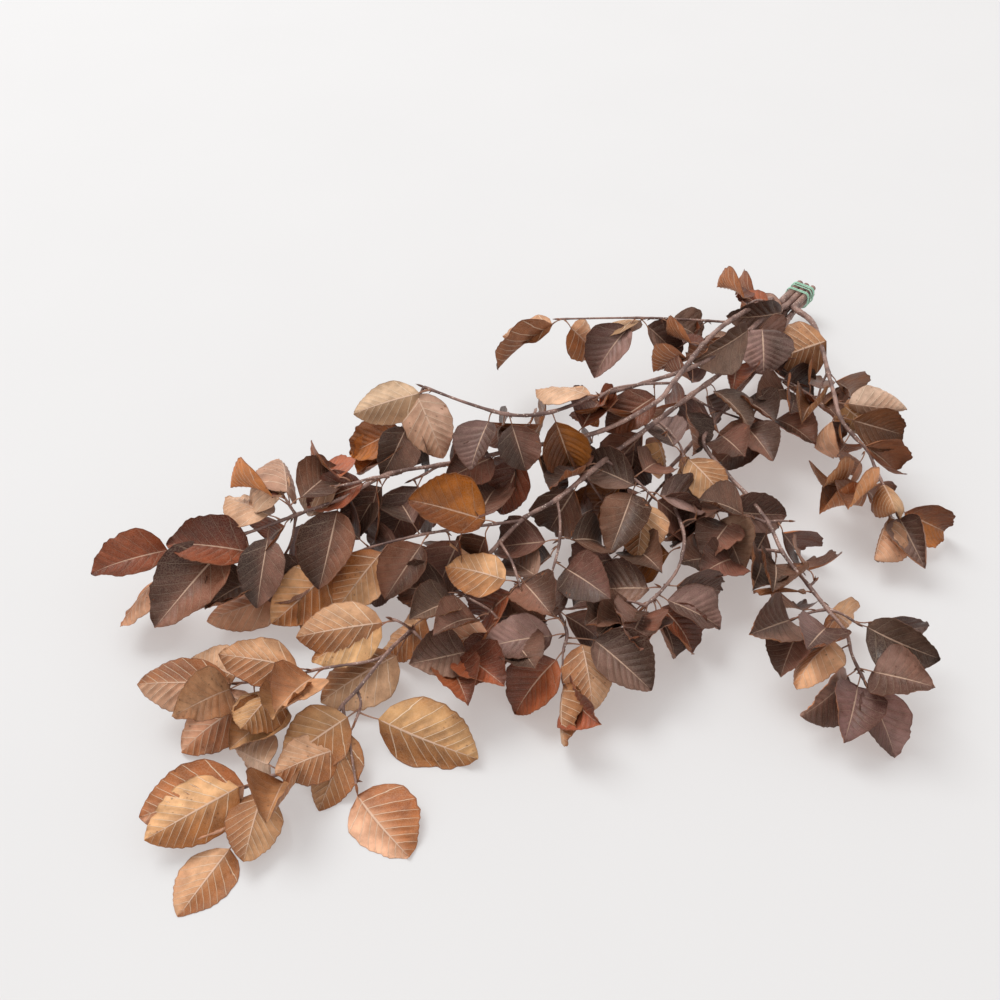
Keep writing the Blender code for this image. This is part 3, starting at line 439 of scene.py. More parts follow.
            },
            {
                "route": [(828, 372, 60), (822, 384, 52), (818, 398, 42)],
                "leaves": [(820, 395, 836, 428, DARK), (818, 400, 800, 424, DARK)],
            },
        ],
    },
    "branch_middle": {
        "slot": (0, -1),
        "stem": [
            (770, 350, 14), (740, 385, 14), (705, 428, 18), (682, 455, 30), (667, 474, 42), (672, 500, 44),
            (684, 535, 44), (679, 566, 42), (662, 590, 38), (645, 606, 32),
        ],
        "leaves": [
            (696, 519, 676, 540, MAUVE_SHEEN), (686, 548, 626, 577, GOLD), (672, 592, 722, 591, MAUVE_SHEEN, 0.6),
            (665, 603, 716, 628, MAUVE_SHEEN), (664, 590, 598, 592, MAUVE_SHEEN, 1.1), (652, 606, 632, 634, MAUVE_SHEEN, 1.2),
            (640, 610, 600, 632, DARK), (660, 606, 700, 655, RUST), (652, 606, 676, 648, DARK),
            (645, 606, 640, 640, DARK),
        ],
        "shoots": [
            {
                "route": [(667, 474, 42), (650, 500, 38), (634, 528, 34), (622, 556, 30)],
                "leaves": [
                    (630, 545, 650, 562, DARK), (618, 566, 580, 580, DARK), (640, 525, 612, 535, DARK),
                ],
            },
            {
                "route": [(645, 606, 32), (634, 602, 34), (620, 600, 34)],
                "leaves": [(622, 602, 572, 606, DARK), (620, 604, 596, 632, DARK)],
            },
        ],
    },
}


# Where every leaf lies. A rule with seeded draws moves each leaf until its plain solid is clear of the wood and
# of the leaves placed before it, so that the fine leaves below lie where the solids' leaves lie.
SHORTEST_BLADE, LONGEST_BLADE = 0.044, 0.092
BLADE_WIDTH = 0.70  # share of the blade's length
LEAST_WIDTH = 0.034
MIDRIB_THICKNESS, EDGE_THICKNESS = 0.0014, 0.0006
STALK_LENGTH, LONGEST_STALK = 0.009, 0.020
STALK_HALF = 0.0007
TOUCHING = 0.0005  # a tip lower than this touches the table
LYING = 0.75  # a blade lies flat when its way out points up by more than this
EDGE_WAVE = 0.0022
FOLD = math.radians(14)
ARCH = 0.07  # share of the blade's length
WIDTH_SPREAD, FORM_SPREAD, WAVE_SPREAD = (0.92, 1.06), (0.3, 1.5), (-0.4, 1.0)  # drawn for each leaf
ROLL_SPREAD = math.radians(9)
FACES_UP, FACES_EYE = 0.55, 0.45  # how far a blade turns to the sky and to the eye
LOWEST_BASE = 0.004
MOST_RISE = 0.012
FIRST_SHARE, LAST_SHARE = 0.05, 0.90  # no leaf grows nearer than this to the ends of its wood
STEM_TIP_RADIUS = 0.0012
SHOOT_RADIUS, SHOOT_TIP_RADIUS = 0.0014, 0.0009
STEM_SIDES, SHOOT_SIDES = 6, 4
STEM_STEP, SHOOT_STEP = 0.038, 0.026
CLEARANCE = 0.0005
TRIES = 240
BASE_STRAY, TIP_STRAY = 12, 15
SIGHT_STRAY = 0.036
ROLL_STRAY = math.radians(55)
SHRINK_STRAY = 0.36
FORM_SEEDS = 1000  # added to a leaf's number for the draws of its form
STATIONS = ((0.10, 0.52), (0.33, 0.96), (0.58, 1.00), (0.82, 0.62))
INNER_STATIONS = ((0.14, 0.64), (0.46, 1.00), (0.78, 0.70))
ONLY_FIRST = 3
PATIENCE = 70


def unit(vector):
    return vector / np.linalg.norm(vector)


def across_of(vector, axis):
    """The part of a vector that is square to an axis, at unit length."""
    return unit(vector - (vector @ axis) * axis)


def sight(across, down):
    """The direction from the eye through a pixel."""
    toward = FOCAL_PIXELS * LOOK + (across - PHOTO_MIDDLE) * RIGHT - (down - PHOTO_MIDDLE) * HEAD_UP
    return unit(toward)


def place(across, down, height_mm):
    """The real place of a pixel at a height above the table."""
    toward = sight(across, down)
    return EYE + toward * ((height_mm / 1000 - EYE[2]) / toward[2])


def pixels(points):
    """Where real places are seen, as pixels."""
    from_eye = np.asarray(points) - EYE
    depth = from_eye @ LOOK
    across = PHOTO_MIDDLE + FOCAL_PIXELS * (from_eye @ RIGHT) / depth
    return np.stack([across, PHOTO_MIDDLE - FOCAL_PIXELS * (from_eye @ HEAD_UP) / depth], axis=-1)


def smooth(points, step):
    """A Catmull-Rom curve through the points, cut into equal runs of about one step."""
    p = np.vstack([2 * points[0] - points[1], points, 2 * points[-1] - points[-2]])
    t = np.linspace(0, 1, 12, endpoint=False)[:, None]
    runs = [
        0.5 * (2 * b + (c - a) * t + (2 * a - 5 * b + 4 * c - d) * t**2 + (3 * b - 3 * c + d - a) * t**3)
        for a, b, c, d in zip(p, p[1:], p[2:], p[3:])
    ]
    fine = np.vstack(runs + [points[-1:]])
    along = np.concatenate([[0], np.cumsum(np.linalg.norm(np.diff(fine, axis=0), axis=1))])
    even = np.linspace(0, along[-1], max(3, round(along[-1] / step) + 1))
    return np.stack([np.interp(even, along, fine[:, i]) for i in range(3)], axis=1)


def seen_nearest(line, across, down):
    """Where a line passes nearest to a pixel, as seen: (place, index of the run, share of the run)."""
    at = np.array([across, down], float)
    flat = pixels(line)
    best = None
    for i in range(len(line) - 1):
        run = flat[i + 1] - flat[i]
        share = float(np.clip((at - flat[i]) @ run / max(run @ run, 1e-9), 0, 1))
        gap = np.linalg.norm(flat[i] + share * run - at)
        if best is None or gap < best[0]:
            best = (gap, i, share)
    _, i, share = best
    return line[i] + share * (line[i + 1] - line[i]), i, share


def wood_radii(count, first, last):
    """A taper that is slow at first and quick at the tip."""
    return last + (first - last) * (1 - np.linspace(0, 1, count)) ** 0.7


def wood_lines(branch, stem_step, shoot_step):
    """A branch's stem and shoots as lines in runs of these lengths: [(line, first radius, last, leaves)].
    A shoot is rooted on the plain line of what it grows from, whatever the runs are."""
    row, level = branch["slot"]
    y, z = BUNDLE_Y + row * STEM_PITCH, BUNDLE_Z + level * STEM_PITCH / 2
    end, start = (np.array([x, y, z]) for x in (BUNDLE_END_X, BUNDLE_START_X))
    route = np.array([start] + [place(*p) for p in branch["stem"]])
    plain_stem = np.vstack([end, smooth(route, STEM_STEP)])
    lines = [(np.vstack([end, smooth(route, stem_step)]), BUTT_RADIUS, STEM_TIP_RADIUS, branch["leaves"])]
    plain = plain_stem
    for shoot in branch["shoots"]:
        root, _, _ = seen_nearest(plain if shoot.get("from_shoot") else plain_stem, *shoot["route"][0][:2])
        route = np.array([root] + [place(*p) for p in shoot["route"][1:]])
        plain = smooth(route, SHOOT_STEP)
        lines.append((smooth(route, shoot_step), SHOOT_RADIUS, SHOOT_TIP_RADIUS, shoot["leaves"]))
    return lines


def between(first, second, start_a, start_b):
    """Triangles from one ring to the next. A ring may have half as many corners as the one after it."""
    faces = []
    for j in range(second):
        c, d = start_b + (j + 1) % second, start_b + j
        if first == second:
            a, b = start_a + j, start_a + (j + 1) % first
            faces += [(a, b, c), (a, c, d)] if j % 3 == 2 else [(a, b, d), (b, c, d)]
        elif j % 2 == 0:
            faces.append((start_a + j // 2, c, d))
        else:
            a, b = start_a + j // 2, start_a + (j // 2 + 1) % first
            faces += [(a, b, d), (b, c, d)]
    return faces


def rings_mesh(rings, tip=None):
    """Faces between rings of points, with a flat cap at the first ring and a cap or a point at the last."""
    counts = [len(ring) for ring in rings]
    starts = np.concatenate([[0], np.cumsum(counts)]).tolist()
    points = np.vstack(rings)
    faces = [(0, j + 1, j) for j in range(1, counts[0] - 1)]
    for i in range(len(rings) - 1):
        faces += between(counts[i], counts[i + 1], starts[i], starts[i + 1])
    last, sides = starts[-2], counts[-1]
    if tip is None:
        faces += [(last, last + j, last + j + 1) for j in range(1, sides - 1)]
    else:
        points = np.vstack([points, tip])
        faces += [(last + j, last + (j + 1) % sides, len(points) - 1) for j in range(sides)]
    return points, faces


def headings(line):
    """Which way a line runs at each of its points."""
    heading = np.gradient(line, axis=0)
    return heading / np.linalg.norm(heading, axis=1)[:, None]


def rings_about(line, radii, sides):
    """Rings about a line: point (i, j) stands at radius i from line point i, at turn j of equal turns, in a
    plane square to the line, with the turns carried along without twist."""
    heading = headings(line)
    out = across_of(UP if abs(heading[0][2]) < 0.9 else RIGHT, heading[0])
    outs = []
    for axis in heading:
        out = across_of(out, axis)
        outs.append(out)
    outs = np.array(outs)
    others = np.cross(heading, outs)
    turn = np.arange(sides) * 2 * math.pi / sides
    spokes = np.cos(turn)[None, :, None] * outs[:, None] + np.sin(turn)[None, :, None] * others[:, None]
    return line[:, None] + np.asarray(radii)[:, None, None] * spokes


def leaf_ends(line, pixels_at, sight_step, shrink):
    """(root in the wood, base of the blade, tip) of a leaf whose base and tip are seen at these pixels."""
    base_across, base_down, tip_across, tip_down = pixels_at
    root, run, share = seen_nearest(line, base_across, base_down)
    if run == len(line) - 2 and share > LAST_SHARE:
        root = line[-1] + (1 - LAST_SHARE) * (line[-2] - line[-1])
    if run == 0 and share < FIRST_SHARE:
        root = line[0] + FIRST_SHARE * (line[1] - line[0])
    toward = sight(base_across, base_down)
    base = EYE + toward * ((root - EYE) @ toward)
    stalk = np.linalg.norm(base - root)
    ahead = sight(tip_across, tip_down)
    if stalk < STALK_LENGTH:
        tip = EYE + ahead * ((root - EYE) @ ahead)
        base = root + unit(tip - root) * STALK_LENGTH
    elif stalk > LONGEST_STALK:
        base = root + (base - root) * LONGEST_STALK / stalk
    base[2] = max(base[2], LOWEST_BASE)
    # The blade lies square to the line of sight, as far as the table and its stiffness let it.
    lowest, highest = 0.0, base[2] + MOST_RISE
    nearest, farthest = (highest - EYE[2]) / ahead[2], (lowest - EYE[2]) / ahead[2]
    reach = float(np.clip((base - EYE) @ ahead + sight_step, nearest, farthest))
    # A blade that looks too short is seen on the slant: its tip hangs down, or stands up for want of room.
    missing = SHORTEST_BLADE**2 - np.linalg.norm(EYE + ahead * reach - base) ** 2
    if missing > 0:
        slant = math.sqrt(missing)
        reach = reach + slant if reach + slant < farthest else max(reach - slant, nearest)
    tip = EYE + ahead * reach
    length = np.linalg.norm(tip - base)
    wanted = float(np.clip(length, SHORTEST_BLADE, LONGEST_BLADE)) * shrink
    tip = base + (tip - base) * wanted / length
    tip[2] = max(tip[2], lowest)
    return root, base, tip


def lies_of(line, leaf, number):
    """The lies that a leaf may try, straying further and further, as (root, base, tip, roll, breadth)."""
    draw = np.random.default_rng(number)
    width = leaf[5] if len(leaf) > 5 else 1.0
    turned_by = math.acos(min(width, 1.0))
    roll = draw.normal(0, ROLL_SPREAD) + turned_by
    for spread in np.linspace(0, 1, TRIES):
        strays = draw.uniform(-1, 1, 6) * spread
        ends = np.array(leaf[:4]) + strays[:4] * (BASE_STRAY, BASE_STRAY, TIP_STRAY, TIP_STRAY)
        shrink = 1 - SHRINK_STRAY * spread * draw.uniform()
        ends = leaf_ends(line, ends, strays[4] * SIGHT_STRAY, shrink)
        yield (*ends, roll + strays[5] * ROLL_STRAY, max(width, 1.0))


def leaf_axes(base, tip, roll):
    """Along the midrib, across the blade, and out of the side that faces up and towards the eye."""
    along = unit(tip - base)
    facing = across_of(FACES_UP * UP - FACES_EYE * LOOK, along)
    side = np.cross(along, facing)
    turned = math.cos(roll) * facing + math.sin(roll) * side
    return along, np.cross(along, turned), turned


def leaf_form(base, tip, breadth, look, number):
    """A blade's length, half width, fold, arch and the swings of its two margins at its stations."""
    draw = np.random.default_rng(FORM_SEEDS + number)
    length = np.linalg.norm(tip - base)
    half = max(length * BLADE_WIDTH, LEAST_WIDTH) / 2 * draw.uniform(*WIDTH_SPREAD) * breadth
    fold = FOLD * draw.uniform(*FORM_SPREAD) * (-1 if look in UNDERSIDE_UP else 1)
    arch = ARCH * length * draw.uniform(*FORM_SPREAD)
    stations = INNER_STATIONS if look == DARK else STATIONS
    wave = draw.uniform(*WAVE_SPREAD, (len(stations), 2)) * EDGE_WAVE
    return length, half, fold, arch, stations, wave * (-1.0) ** np.arange(len(stations))[:, None]


def plain_leaf(root, base, tip, roll, breadth, look, number, swell):
    """The plain solid of a leaf, swollen by a little, for finding a lie that is clear of what is near."""
    along, side, up = leaf_axes(base, tip, roll)
    length, half, fold, arch, stations, wave = leaf_form(base, tip, breadth, look, number)
    middle_half, edge_half = MIDRIB_THICKNESS / 2 + swell, EDGE_THICKNESS / 2 + swell
    stalk_axis = unit(base - root)
    stalk_up = across_of(up if abs(up @ stalk_axis) < 0.95 else side, stalk_axis)
    stalk_side = np.cross(stalk_axis, stalk_up)
    turn = np.radians((90, -30, -150))[:, None]
    spokes = (STALK_HALF + swell) * (np.cos(turn) * stalk_up - np.sin(turn) * stalk_side)
    rings = [root + spokes, base + spokes]
    for i, (place_along, width) in enumerate(stations):
        middle = base + along * length * place_along + up * arch * 4 * place_along * (1 - place_along)
        middle[2] = max(middle[2], middle_half)
        reach = half * width + swell
        left = middle - side * reach * math.cos(fold) + up * (reach * math.sin(fold) + wave[i][0])
        right = middle + side * reach * math.cos(fold) + up * (reach * math.sin(fold) - wave[i][1])
        left[2], right[2] = max(left[2], edge_half), max(right[2], edge_half)
        corners = np.array([
            left - up * edge_half, left + up * edge_half, middle + up * middle_half,
            right + up * edge_half, right - up * edge_half, middle - up * middle_half,
        ])
        if tip[2] < TOUCHING and up[2] > LYING and i == len(stations) - 1:
            corners[:, 2] = np.array([0, 2, 3, 2, 0, 0]) * edge_half
        corners[:, 2] = np.maximum(corners[:, 2], 0.0)
        rings.append(corners)
    return rings_mesh(rings, tip=tip + along * swell)


def clear_lies(branches):
    """Where every leaf lies: {branch: [(lie, look, number, whether it is clear)]}. The leaves in sight choose
    first, and of these the first of every list. A leaf that never comes clear keeps its first lie, marked so."""
    lows, highs, trees, owners = [], [], [], []
    waiting = []

    def tree_of(points, faces):
        return BVHTree.FromPolygons([Vector(p) for p in points], faces, all_triangles=True)

    def keep(points, faces, owner):
        lows.append(points.min(axis=0))
        highs.append(points.max(axis=0))
        trees.append(tree_of(points, faces))
        owners.append(owner)

    def crossed(points, faces, own):
        reached = (np.array(lows) <= points.max(axis=0)) & (np.array(highs) >= points.min(axis=0))
        near = [i for i in np.flatnonzero(np.all(reached, axis=1)) if owners[i] != own]
        tree = tree_of(points, faces) if near else None
        return [owners[i] for i in near if tree.overlap(trees[i])]

    for name, branch in branches.items():
        for number, (line, first, last, leaves) in enumerate(wood_lines(branch, STEM_STEP, SHOOT_STEP)):
            sides = SHOOT_SIDES if number else STEM_SIDES
            rings = rings_about(line, wood_radii(len(line), first, last), sides)
            keep(*rings_mesh(list(rings)), (name, "wood", number))
            waiting += [(rank, name, number, line, leaf) for rank, leaf in enumerate(leaves)]
    waiting.sort(key=lambda item: (item[4][4] == DARK, item[0]))
    found = {name: [] for name in branches}
    for count, (rank, name, number, line, leaf) in enumerate(waiting):
        fallback, first_lie, tried = None, None, 0
        may_cross = leaf[4] != DARK and rank < ONLY_FIRST
        for lie in lies_of(line, leaf, count):
            first_lie = first_lie or lie
            met = crossed(*plain_leaf(*lie, leaf[4], count, CLEARANCE), (name, "wood", number))
            if not met:
                fallback = lie
                break
            tried += 1
            if may_cross and fallback is None and all(owner[0] == name for owner in met):
                fallback = lie
            if fallback is not None and tried > PATIENCE:
                break
        if fallback is not None:
            keep(*plain_leaf(*fallback, leaf[4], count, 0.0), (name, "leaf", count))
        found[name].append((fallback or first_lie, leaf[4], count, fallback is not None))
    return found


def laid_over(branch, base_at, tip_at, rise, droop, roll, breadth):
    """A lie over the stems: it grows from the wood seen nearest its base, stands off it by its rise, and ends
    lower by its droop."""
    lines = [line for line, *_ in wood_lines(BRANCHES[branch], STEM_STEP, SHOOT_STEP)]
    found = [seen_nearest(line, *base_at)[0] for line in lines]
    away = [np.linalg.norm(pixels(root[None])[0] - base_at) for root in found]
    root = found[int(np.argmin(away))]
    height = 1000 * (root[2] + rise)
    return root, place(*base_at, height), place(*tip_at, max(height - 1000 * droop, 0.0)), roll, breadth


# Near the string the stems are hidden under a few leaves that lie too close on them for the plain solids. They
# are given here: branch, base and tip in pixels, rise, droop, roll, breadth, look. The first takes the place
# of the leaf numbered REPLACED, which is narrower in the plain solids.
REPLACED = 28
FIRST_OVER_STEMS = 400  # their own numbers start here
OVER_STEMS = (
    ("branch_edge", (826, 341), (776, 358), 0.006, 0.012, -0.45, 1.55, TAN),
    ("branch_main", (762, 329), (764, 374), 0.036, 0.020, 0.00, 1.40, MAUVE_SHEEN),
    ("branch_back", (782, 312), (727, 318), 0.020, 0.000, -0.95, 1.00, MAUVE_SHEEN),
    ("branch_back", (769, 310), (736, 296), 0.006, -0.006, 0.30, 1.00, RUST),
    ("branch_upper", (748, 330), (692, 363), 0.024, 0.004, -1.15, 1.00, MAUVE_SHEEN),
)
leaf_lies = clear_lies(BRANCHES)
leaf_lies["branch_edge"] = [kept for kept in leaf_lies["branch_edge"] if kept[2] != REPLACED]
for number, (branch, *where, look) in enumerate(OVER_STEMS):
    leaf_lies[branch].append((laid_over(branch, *where), look, FIRST_OVER_STEMS + number, True))


# Bark. Young beech wood is smooth, grey-brown with a mauve cast and dotted with small pale pores. Every stem
# and shoot is a round bar that swells where a leaf or shoot grows from it. The butts are cut square and show
# pale wood with a darker pith.
FINE_STEP = 0.003
BARK_SIDES = 10
THINNER = 0.72  # the wood beyond the bundle, as a share of the plain solid's thickness
THINNER_FROM, THINNER_TO = 0.015, 0.130  # metres from the butt over which it thins
KNUCKLE_SWELL = 0.28  # how much the wood thickens at a joint
KNUCKLE_REACH = 0.0032
MOST_KNUCKLES = 1.2
KNOBBLY = 0.05
CUT_SHARES = ((0.93, 0.00012), (0.20, 0.00020))  # wood and pith: share of the butt's radius, how far out
CUT_STARTS = 0.0005  # how deep in the butt the cut end's disc starts
SHARP = math.radians(55)


def linear(red, green, blue):
    """A colour given as the eye sees it, 0 to 255, in linear light."""
    seen = np.array([red, green, blue]) / 255
    return np.where(seen < 0.04045, seen / 12.92, ((seen + 0.055) / 1.055) ** 2.4)


BARK_BROWN = linear(164, 132, 122)
CUT_WOOD, PITH = linear(205, 165, 135), linear(120, 80, 60)


def round_bar(line, radii, sides):
    """A round bar: rings about a line, with walls of quads between them and strips across both ends."""
    points = rings_about(line, radii, sides).reshape(-1, 3)
    i, j = np.meshgrid(np.arange(len(line) - 1), np.arange(sides), indexing="ij")
    a, b = i * sides + j, i * sides + (j + 1) % sides
    walls = np.stack([a, b, b + sides, a + sides], axis=-1).reshape(-1, 4)
    k = np.arange(sides // 2 - 1)
    strips = np.stack([k, sides - 1 - k, sides - 2 - k, k + 1], axis=1)
    return points, np.vstack([walls, strips, (len(line) - 1) * sides + strips[:, ::-1]])


def joined_piece(name, parts, look, node):
    """One object of many parts, each (points, quads, {attribute: a value for each point}). Attributes of two
    numbers become UV maps and of three numbers colours. Faces are smooth, with sharp edges over 55 degrees."""
    starts = np.cumsum([0] + [len(points) for points, _, _ in parts])
    points = np.vstack([points for points, _, _ in parts]) + SHIFT
    quads = np.vstack([quads + start for (_, quads, _), start in zip(parts, starts)])
    mesh = bpy.data.meshes.new(name)
    mesh.vertices.add(len(points))
    mesh.vertices.foreach_set("co", points.ravel())
    mesh.loops.add(quads.size)
    mesh.loops.foreach_set("vertex_index", quads.ravel())
    mesh.polygons.add(len(quads))
    mesh.polygons.foreach_set("loop_start", np.arange(0, quads.size, 4))
    for key in parts[0][2]:
        values = np.concatenate([np.asarray(kept[key], float) for _, _, kept in parts])
        if values.ndim == 1:
            mesh.attributes.new(key, "FLOAT", "POINT").data.foreach_set("value", values)
        elif values.shape[1] == 2:
            mesh.uv_layers.new(name=key).data.foreach_set("uv", values[quads.ravel()].ravel())
        else:
            opaque = np.hstack([values, np.ones((len(values), 1))])
            mesh.attributes.new(key, "FLOAT_COLOR", "POINT").data.foreach_set("color", opaque.ravel())
    mesh.update(calc_edges=True)
    mesh.validate()
    mesh.shade_smooth()
    mesh.set_sharp_from_angle(angle=SHARP)
    mesh.materials.append(look)
    piece = bpy.data.objects.new(name, mesh)
    bpy.context.scene.collection.objects.link(piece)
    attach(piece, "root")
    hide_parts(node)
    return piece


def new_look(name):
    """A new material's node tree and its main shader."""
    look = bpy.data.materials.new(name)
    look.use_nodes = True
    return look, look.node_tree, look.node_tree.nodes["Principled BSDF"]


def feed(tree, socket, value):
    """Links an input to an output, or sets it."""
    if isinstance(value, bpy.types.NodeSocket):
        tree.links.new(value, socket)
    else:
        socket.default_value = value


def add(tree, kind, inputs, **settings):
    """A node of a tree, with its inputs set or linked by name or number, and its own settings."""
    made = tree.nodes.new(kind)
    for key, value in settings.items():
        setattr(made, key, value)
    for key, value in inputs.items():
        feed(tree, made.inputs[key], value)
    return made


def sums(tree, operation, *values):
    """A sum on plain numbers or sockets."""
    return add(tree, "ShaderNodeMath", dict(enumerate(values)), operation=operation).outputs[0]


def ramp(tree, value, low, high, out_low=0.0, out_high=1.0):
    """A smooth step from out_low to out_high as the value runs from low to high."""
    inputs = {"Value": value, "From Min": low, "From Max": high, "To Min": out_low, "To Max": out_high}
    return add(tree, "ShaderNodeMapRange", inputs, interpolation_type="SMOOTHSTEP").outputs[0]


def blended(tree, share, first, second, way="MIX"):
    """Two colours mixed by a share."""
    mix = add(tree, "ShaderNodeMix", {}, data_type="RGBA", blend_type=way)
    for socket, value in zip([s for s in mix.inputs if s.enabled], (share, first, second)):
        feed(tree, socket, (*value, 1.0) if isinstance(value, np.ndarray) else value)
    return next(s for s in mix.outputs if s.enabled)


def noise(tree, where, scale, detail=3.0, roughness=0.5):
    inputs = {"Vector": where, "Scale": scale, "Detail": detail, "Roughness": roughness}
    return add(tree, "ShaderNodeTexNoise", inputs).outputs[0]


def bark_look():
    """Brown with a mauve cast, blotched in long soft patches, with pale pores that stand up a little."""
    look, tree, shader = new_look("beech bark")
    where = add(tree, "ShaderNodeTexCoord", {}).outputs["Object"]
    tint = add(tree, "ShaderNodeAttribute", {}, attribute_name="tint").outputs["Color"]
    cut = add(tree, "ShaderNodeAttribute", {}, attribute_name="cut").outputs["Fac"]
    patches = ramp(tree, noise(tree, where, 70.0, 4.0), 0.32, 0.68)
    fine = noise(tree, where, 900.0, 2.0)
    pores = add(tree, "ShaderNodeTexVoronoi", {"Vector": where, "Scale": 420.0}).outputs["Distance"]
    pores = sums(tree, "MULTIPLY", ramp(tree, pores, 0.13, 0.24, 1.0, 0.0), sums(tree, "SUBTRACT", 1.0, cut))
    shade = blended(tree, patches, linear(158, 150, 150), linear(255, 250, 245))
    colour = blended(tree, 1.0, tint, shade, "MULTIPLY")
    colour = blended(tree, ramp(tree, fine, 0.35, 0.7, 0.0, 0.42), colour, linear(60, 42, 38))
    colour = blended(tree, sums(tree, "MULTIPLY", pores, 0.75), colour, linear(222, 204, 190))
    tree.links.new(colour, shader.inputs["Base Color"])
    tree.links.new(ramp(tree, patches, 0.0, 1.0, 0.62, 0.48), shader.inputs["Roughness"])
    height = sums(tree, "ADD", sums(tree, "MULTIPLY", pores, 0.6), sums(tree, "MULTIPLY", fine, 0.5))
    bump = add(tree, "ShaderNodeBump", {"Height": height, "Strength": 0.5, "Distance": 0.0003})
    tree.links.new(bump.outputs[0], shader.inputs["Normal"])
    return look


def knuckled(line, radii, joints):
    """Radii that vary a little along the wood and swell near every joint: radius * (1 + swell * the sum of
    exp(-(distance / reach) squared))."""
    radii = radii * (1 + KNOBBLY * np.random.default_rng(len(line)).normal(0, 1, len(line)))
    gaps = np.linalg.norm(line[:, None] - np.asarray(joints)[None], axis=2)
    swell = np.minimum(np.exp(-((gaps / KNUCKLE_REACH) ** 2)).sum(axis=1), MOST_KNUCKLES)
    return radii * (1 + KNUCKLE_SWELL * swell)


def wood_part(line, radii, tint, cut):
    """One bar, with its colour and whether it is cut wood."""
    points, quads = round_bar(line, radii, BARK_SIDES)
    return points, quads, {"tint": np.tile(tint, (len(points), 1)), "cut": np.full(len(points), cut)}


beech_bark = bark_look()
fine_lines = {name: wood_lines(branch, FINE_STEP, FINE_STEP) for name, branch in BRANCHES.items()}
for name, lines in fine_lines.items():
    joints = [lie[0] for lie, *_ in leaf_lies[name]] + [line[0] for line, *_ in lines[1:]]
    parts = []
    for line, first, last, _ in lines:
        radii = knuckled(line, wood_radii(len(line), first, last), joints)
        from_butt = np.linalg.norm(line - lines[0][0][0], axis=1)
        radii = radii * np.interp(from_butt, (THINNER_FROM, THINNER_TO), (1.0, THINNER))
        parts.append(wood_part(line, radii, BARK_BROWN, 0.0))
    butt = lines[0][0]
    heading = unit(butt[0] - butt[1])
    for (share, proud), tint in zip(CUT_SHARES, (CUT_WOOD, PITH)):
        ends = np.array([butt[0] - heading * CUT_STARTS, butt[0] + heading * proud])
        parts.append(wood_part(ends, np.full(2, BUTT_RADIUS * share), tint, 1.0))
    joined_piece("bark_" + name, parts, beech_bark, name)


# Leaves. A beech leaf is an oval blade with a pointed tip, on a short thin stalk. From its midrib straight side
# veins run slanting to the margin, about nine a side, and the blade is pleated between them. These leaves are
# dried and preserved: brown, waxy, with wavy curling margins. Each grows from its stem or shoot.
VEINS = 9
ROWS = {True: 37, False: 28}  # rows of points along the blade, for the leaves in sight and those inside
COLUMNS = {
    True: np.array([-1, -0.86, -0.66, -0.42, -0.18, -0.04, 0, 0.04, 0.18, 0.42, 0.66, 0.86, 1]),
    False: np.array([-1, -0.7, -0.34, -0.05, 0, 0.05, 0.34, 0.7, 1]),
}
SLANT = 0.40  # how far up the blade a side vein climbs for its way out
HALVINGS = 14
FINE_SEEDS, TINT_SEEDS = 5000, 9000  # added to a leaf's number for the draws of its fine form and of its tints
HALF_THICK = 0.00014
RIB_STANDS, RIB_REACH = 0.00035, 0.05  # how proud the midrib is, and its share of the half width
RIB_ABOVE = 0.35  # the share of the midrib that shows on the upper side
LEAF_ENDS = (0.60, 0.80)  # how blunt the base and tip are
PLEAT = {True: 0.00075, False: 0.00040}  # for the leaves in sight and those inside
TOOTH = 0.024  # share of the half width
NARROWEST = 0.012  # share of the half width that base and tip keep
CURLS = {
    TAN: (0.1, 0.6), PALE: (0.3, 0.9), GOLD: (0.3, 1.0), DARK: (0.2, 1.1), MAUVE_SHEEN: (0.2, 1.0), RUST: (0.3, 1.2),
}
EDGE_CURLS = (0.9, 1.9)  # the leaves down the right edge have rolled up most
FLATTER = (0.1, 0.4)  # those over the stems near the string
ROLLED_LEAF, ROLLED_UP = 74, (2.5, 2.6)  # one pale leaf in the middle is a closed roll
CURL_AT_BASE, CURL_GROWS = 0.75, 0.5
MOST_GROWN = 1.1  # a blade that curls more than this is cut no wider
FRILL_HEIGHTS = {True: 0.0012, False: 0.0017}  # with the underside up, and not
FRILL_SPREAD, FRILL_COUNTS = (0.4, 1.5), (1.5, 3.2)
HOOKS = (-0.16, 0.34)  # how far a margin hooks over, as a share of the half width
TIP_BENDS, TIP_BENDS_FROM = (-0.05, 0.04), 0.62
SIDE_BENDS = (-0.05, 0.05)
USUAL_HALF = 0.024
STALK_FINE, STALK_SIDES, STALK_STEP = 0.00050, 6, 0.0025
STALK_BOWS = (0.0006, 0.0016)
STALK_COLOUR = linear(160, 118, 96)

# For each look, colours of the side seen and of the side turned away, light and deep. The mauve look's seen side
# is dark brown lightened to grey-mauve, a painted sheen.
LEAF_TINTS = {
    TAN: ((230, 178, 140), (168, 102, 52), (204, 148, 108), (144, 88, 48)),
    PALE: ((222, 184, 162), (188, 142, 114), (160, 106, 76), (124, 78, 54)),
    GOLD: ((184, 105, 20), (108, 50, 4), (200, 130, 66), (160, 92, 40)),
    DARK: ((132, 84, 70), (64, 30, 22), (176, 104, 58), (134, 72, 38)),
    MAUVE_SHEEN: ((148, 112, 104), (78, 46, 40), (184, 118, 74), (146, 84, 50)),
    RUST: ((160, 78, 40), (94, 33, 9), (190, 114, 60), (150, 80, 38)),
}
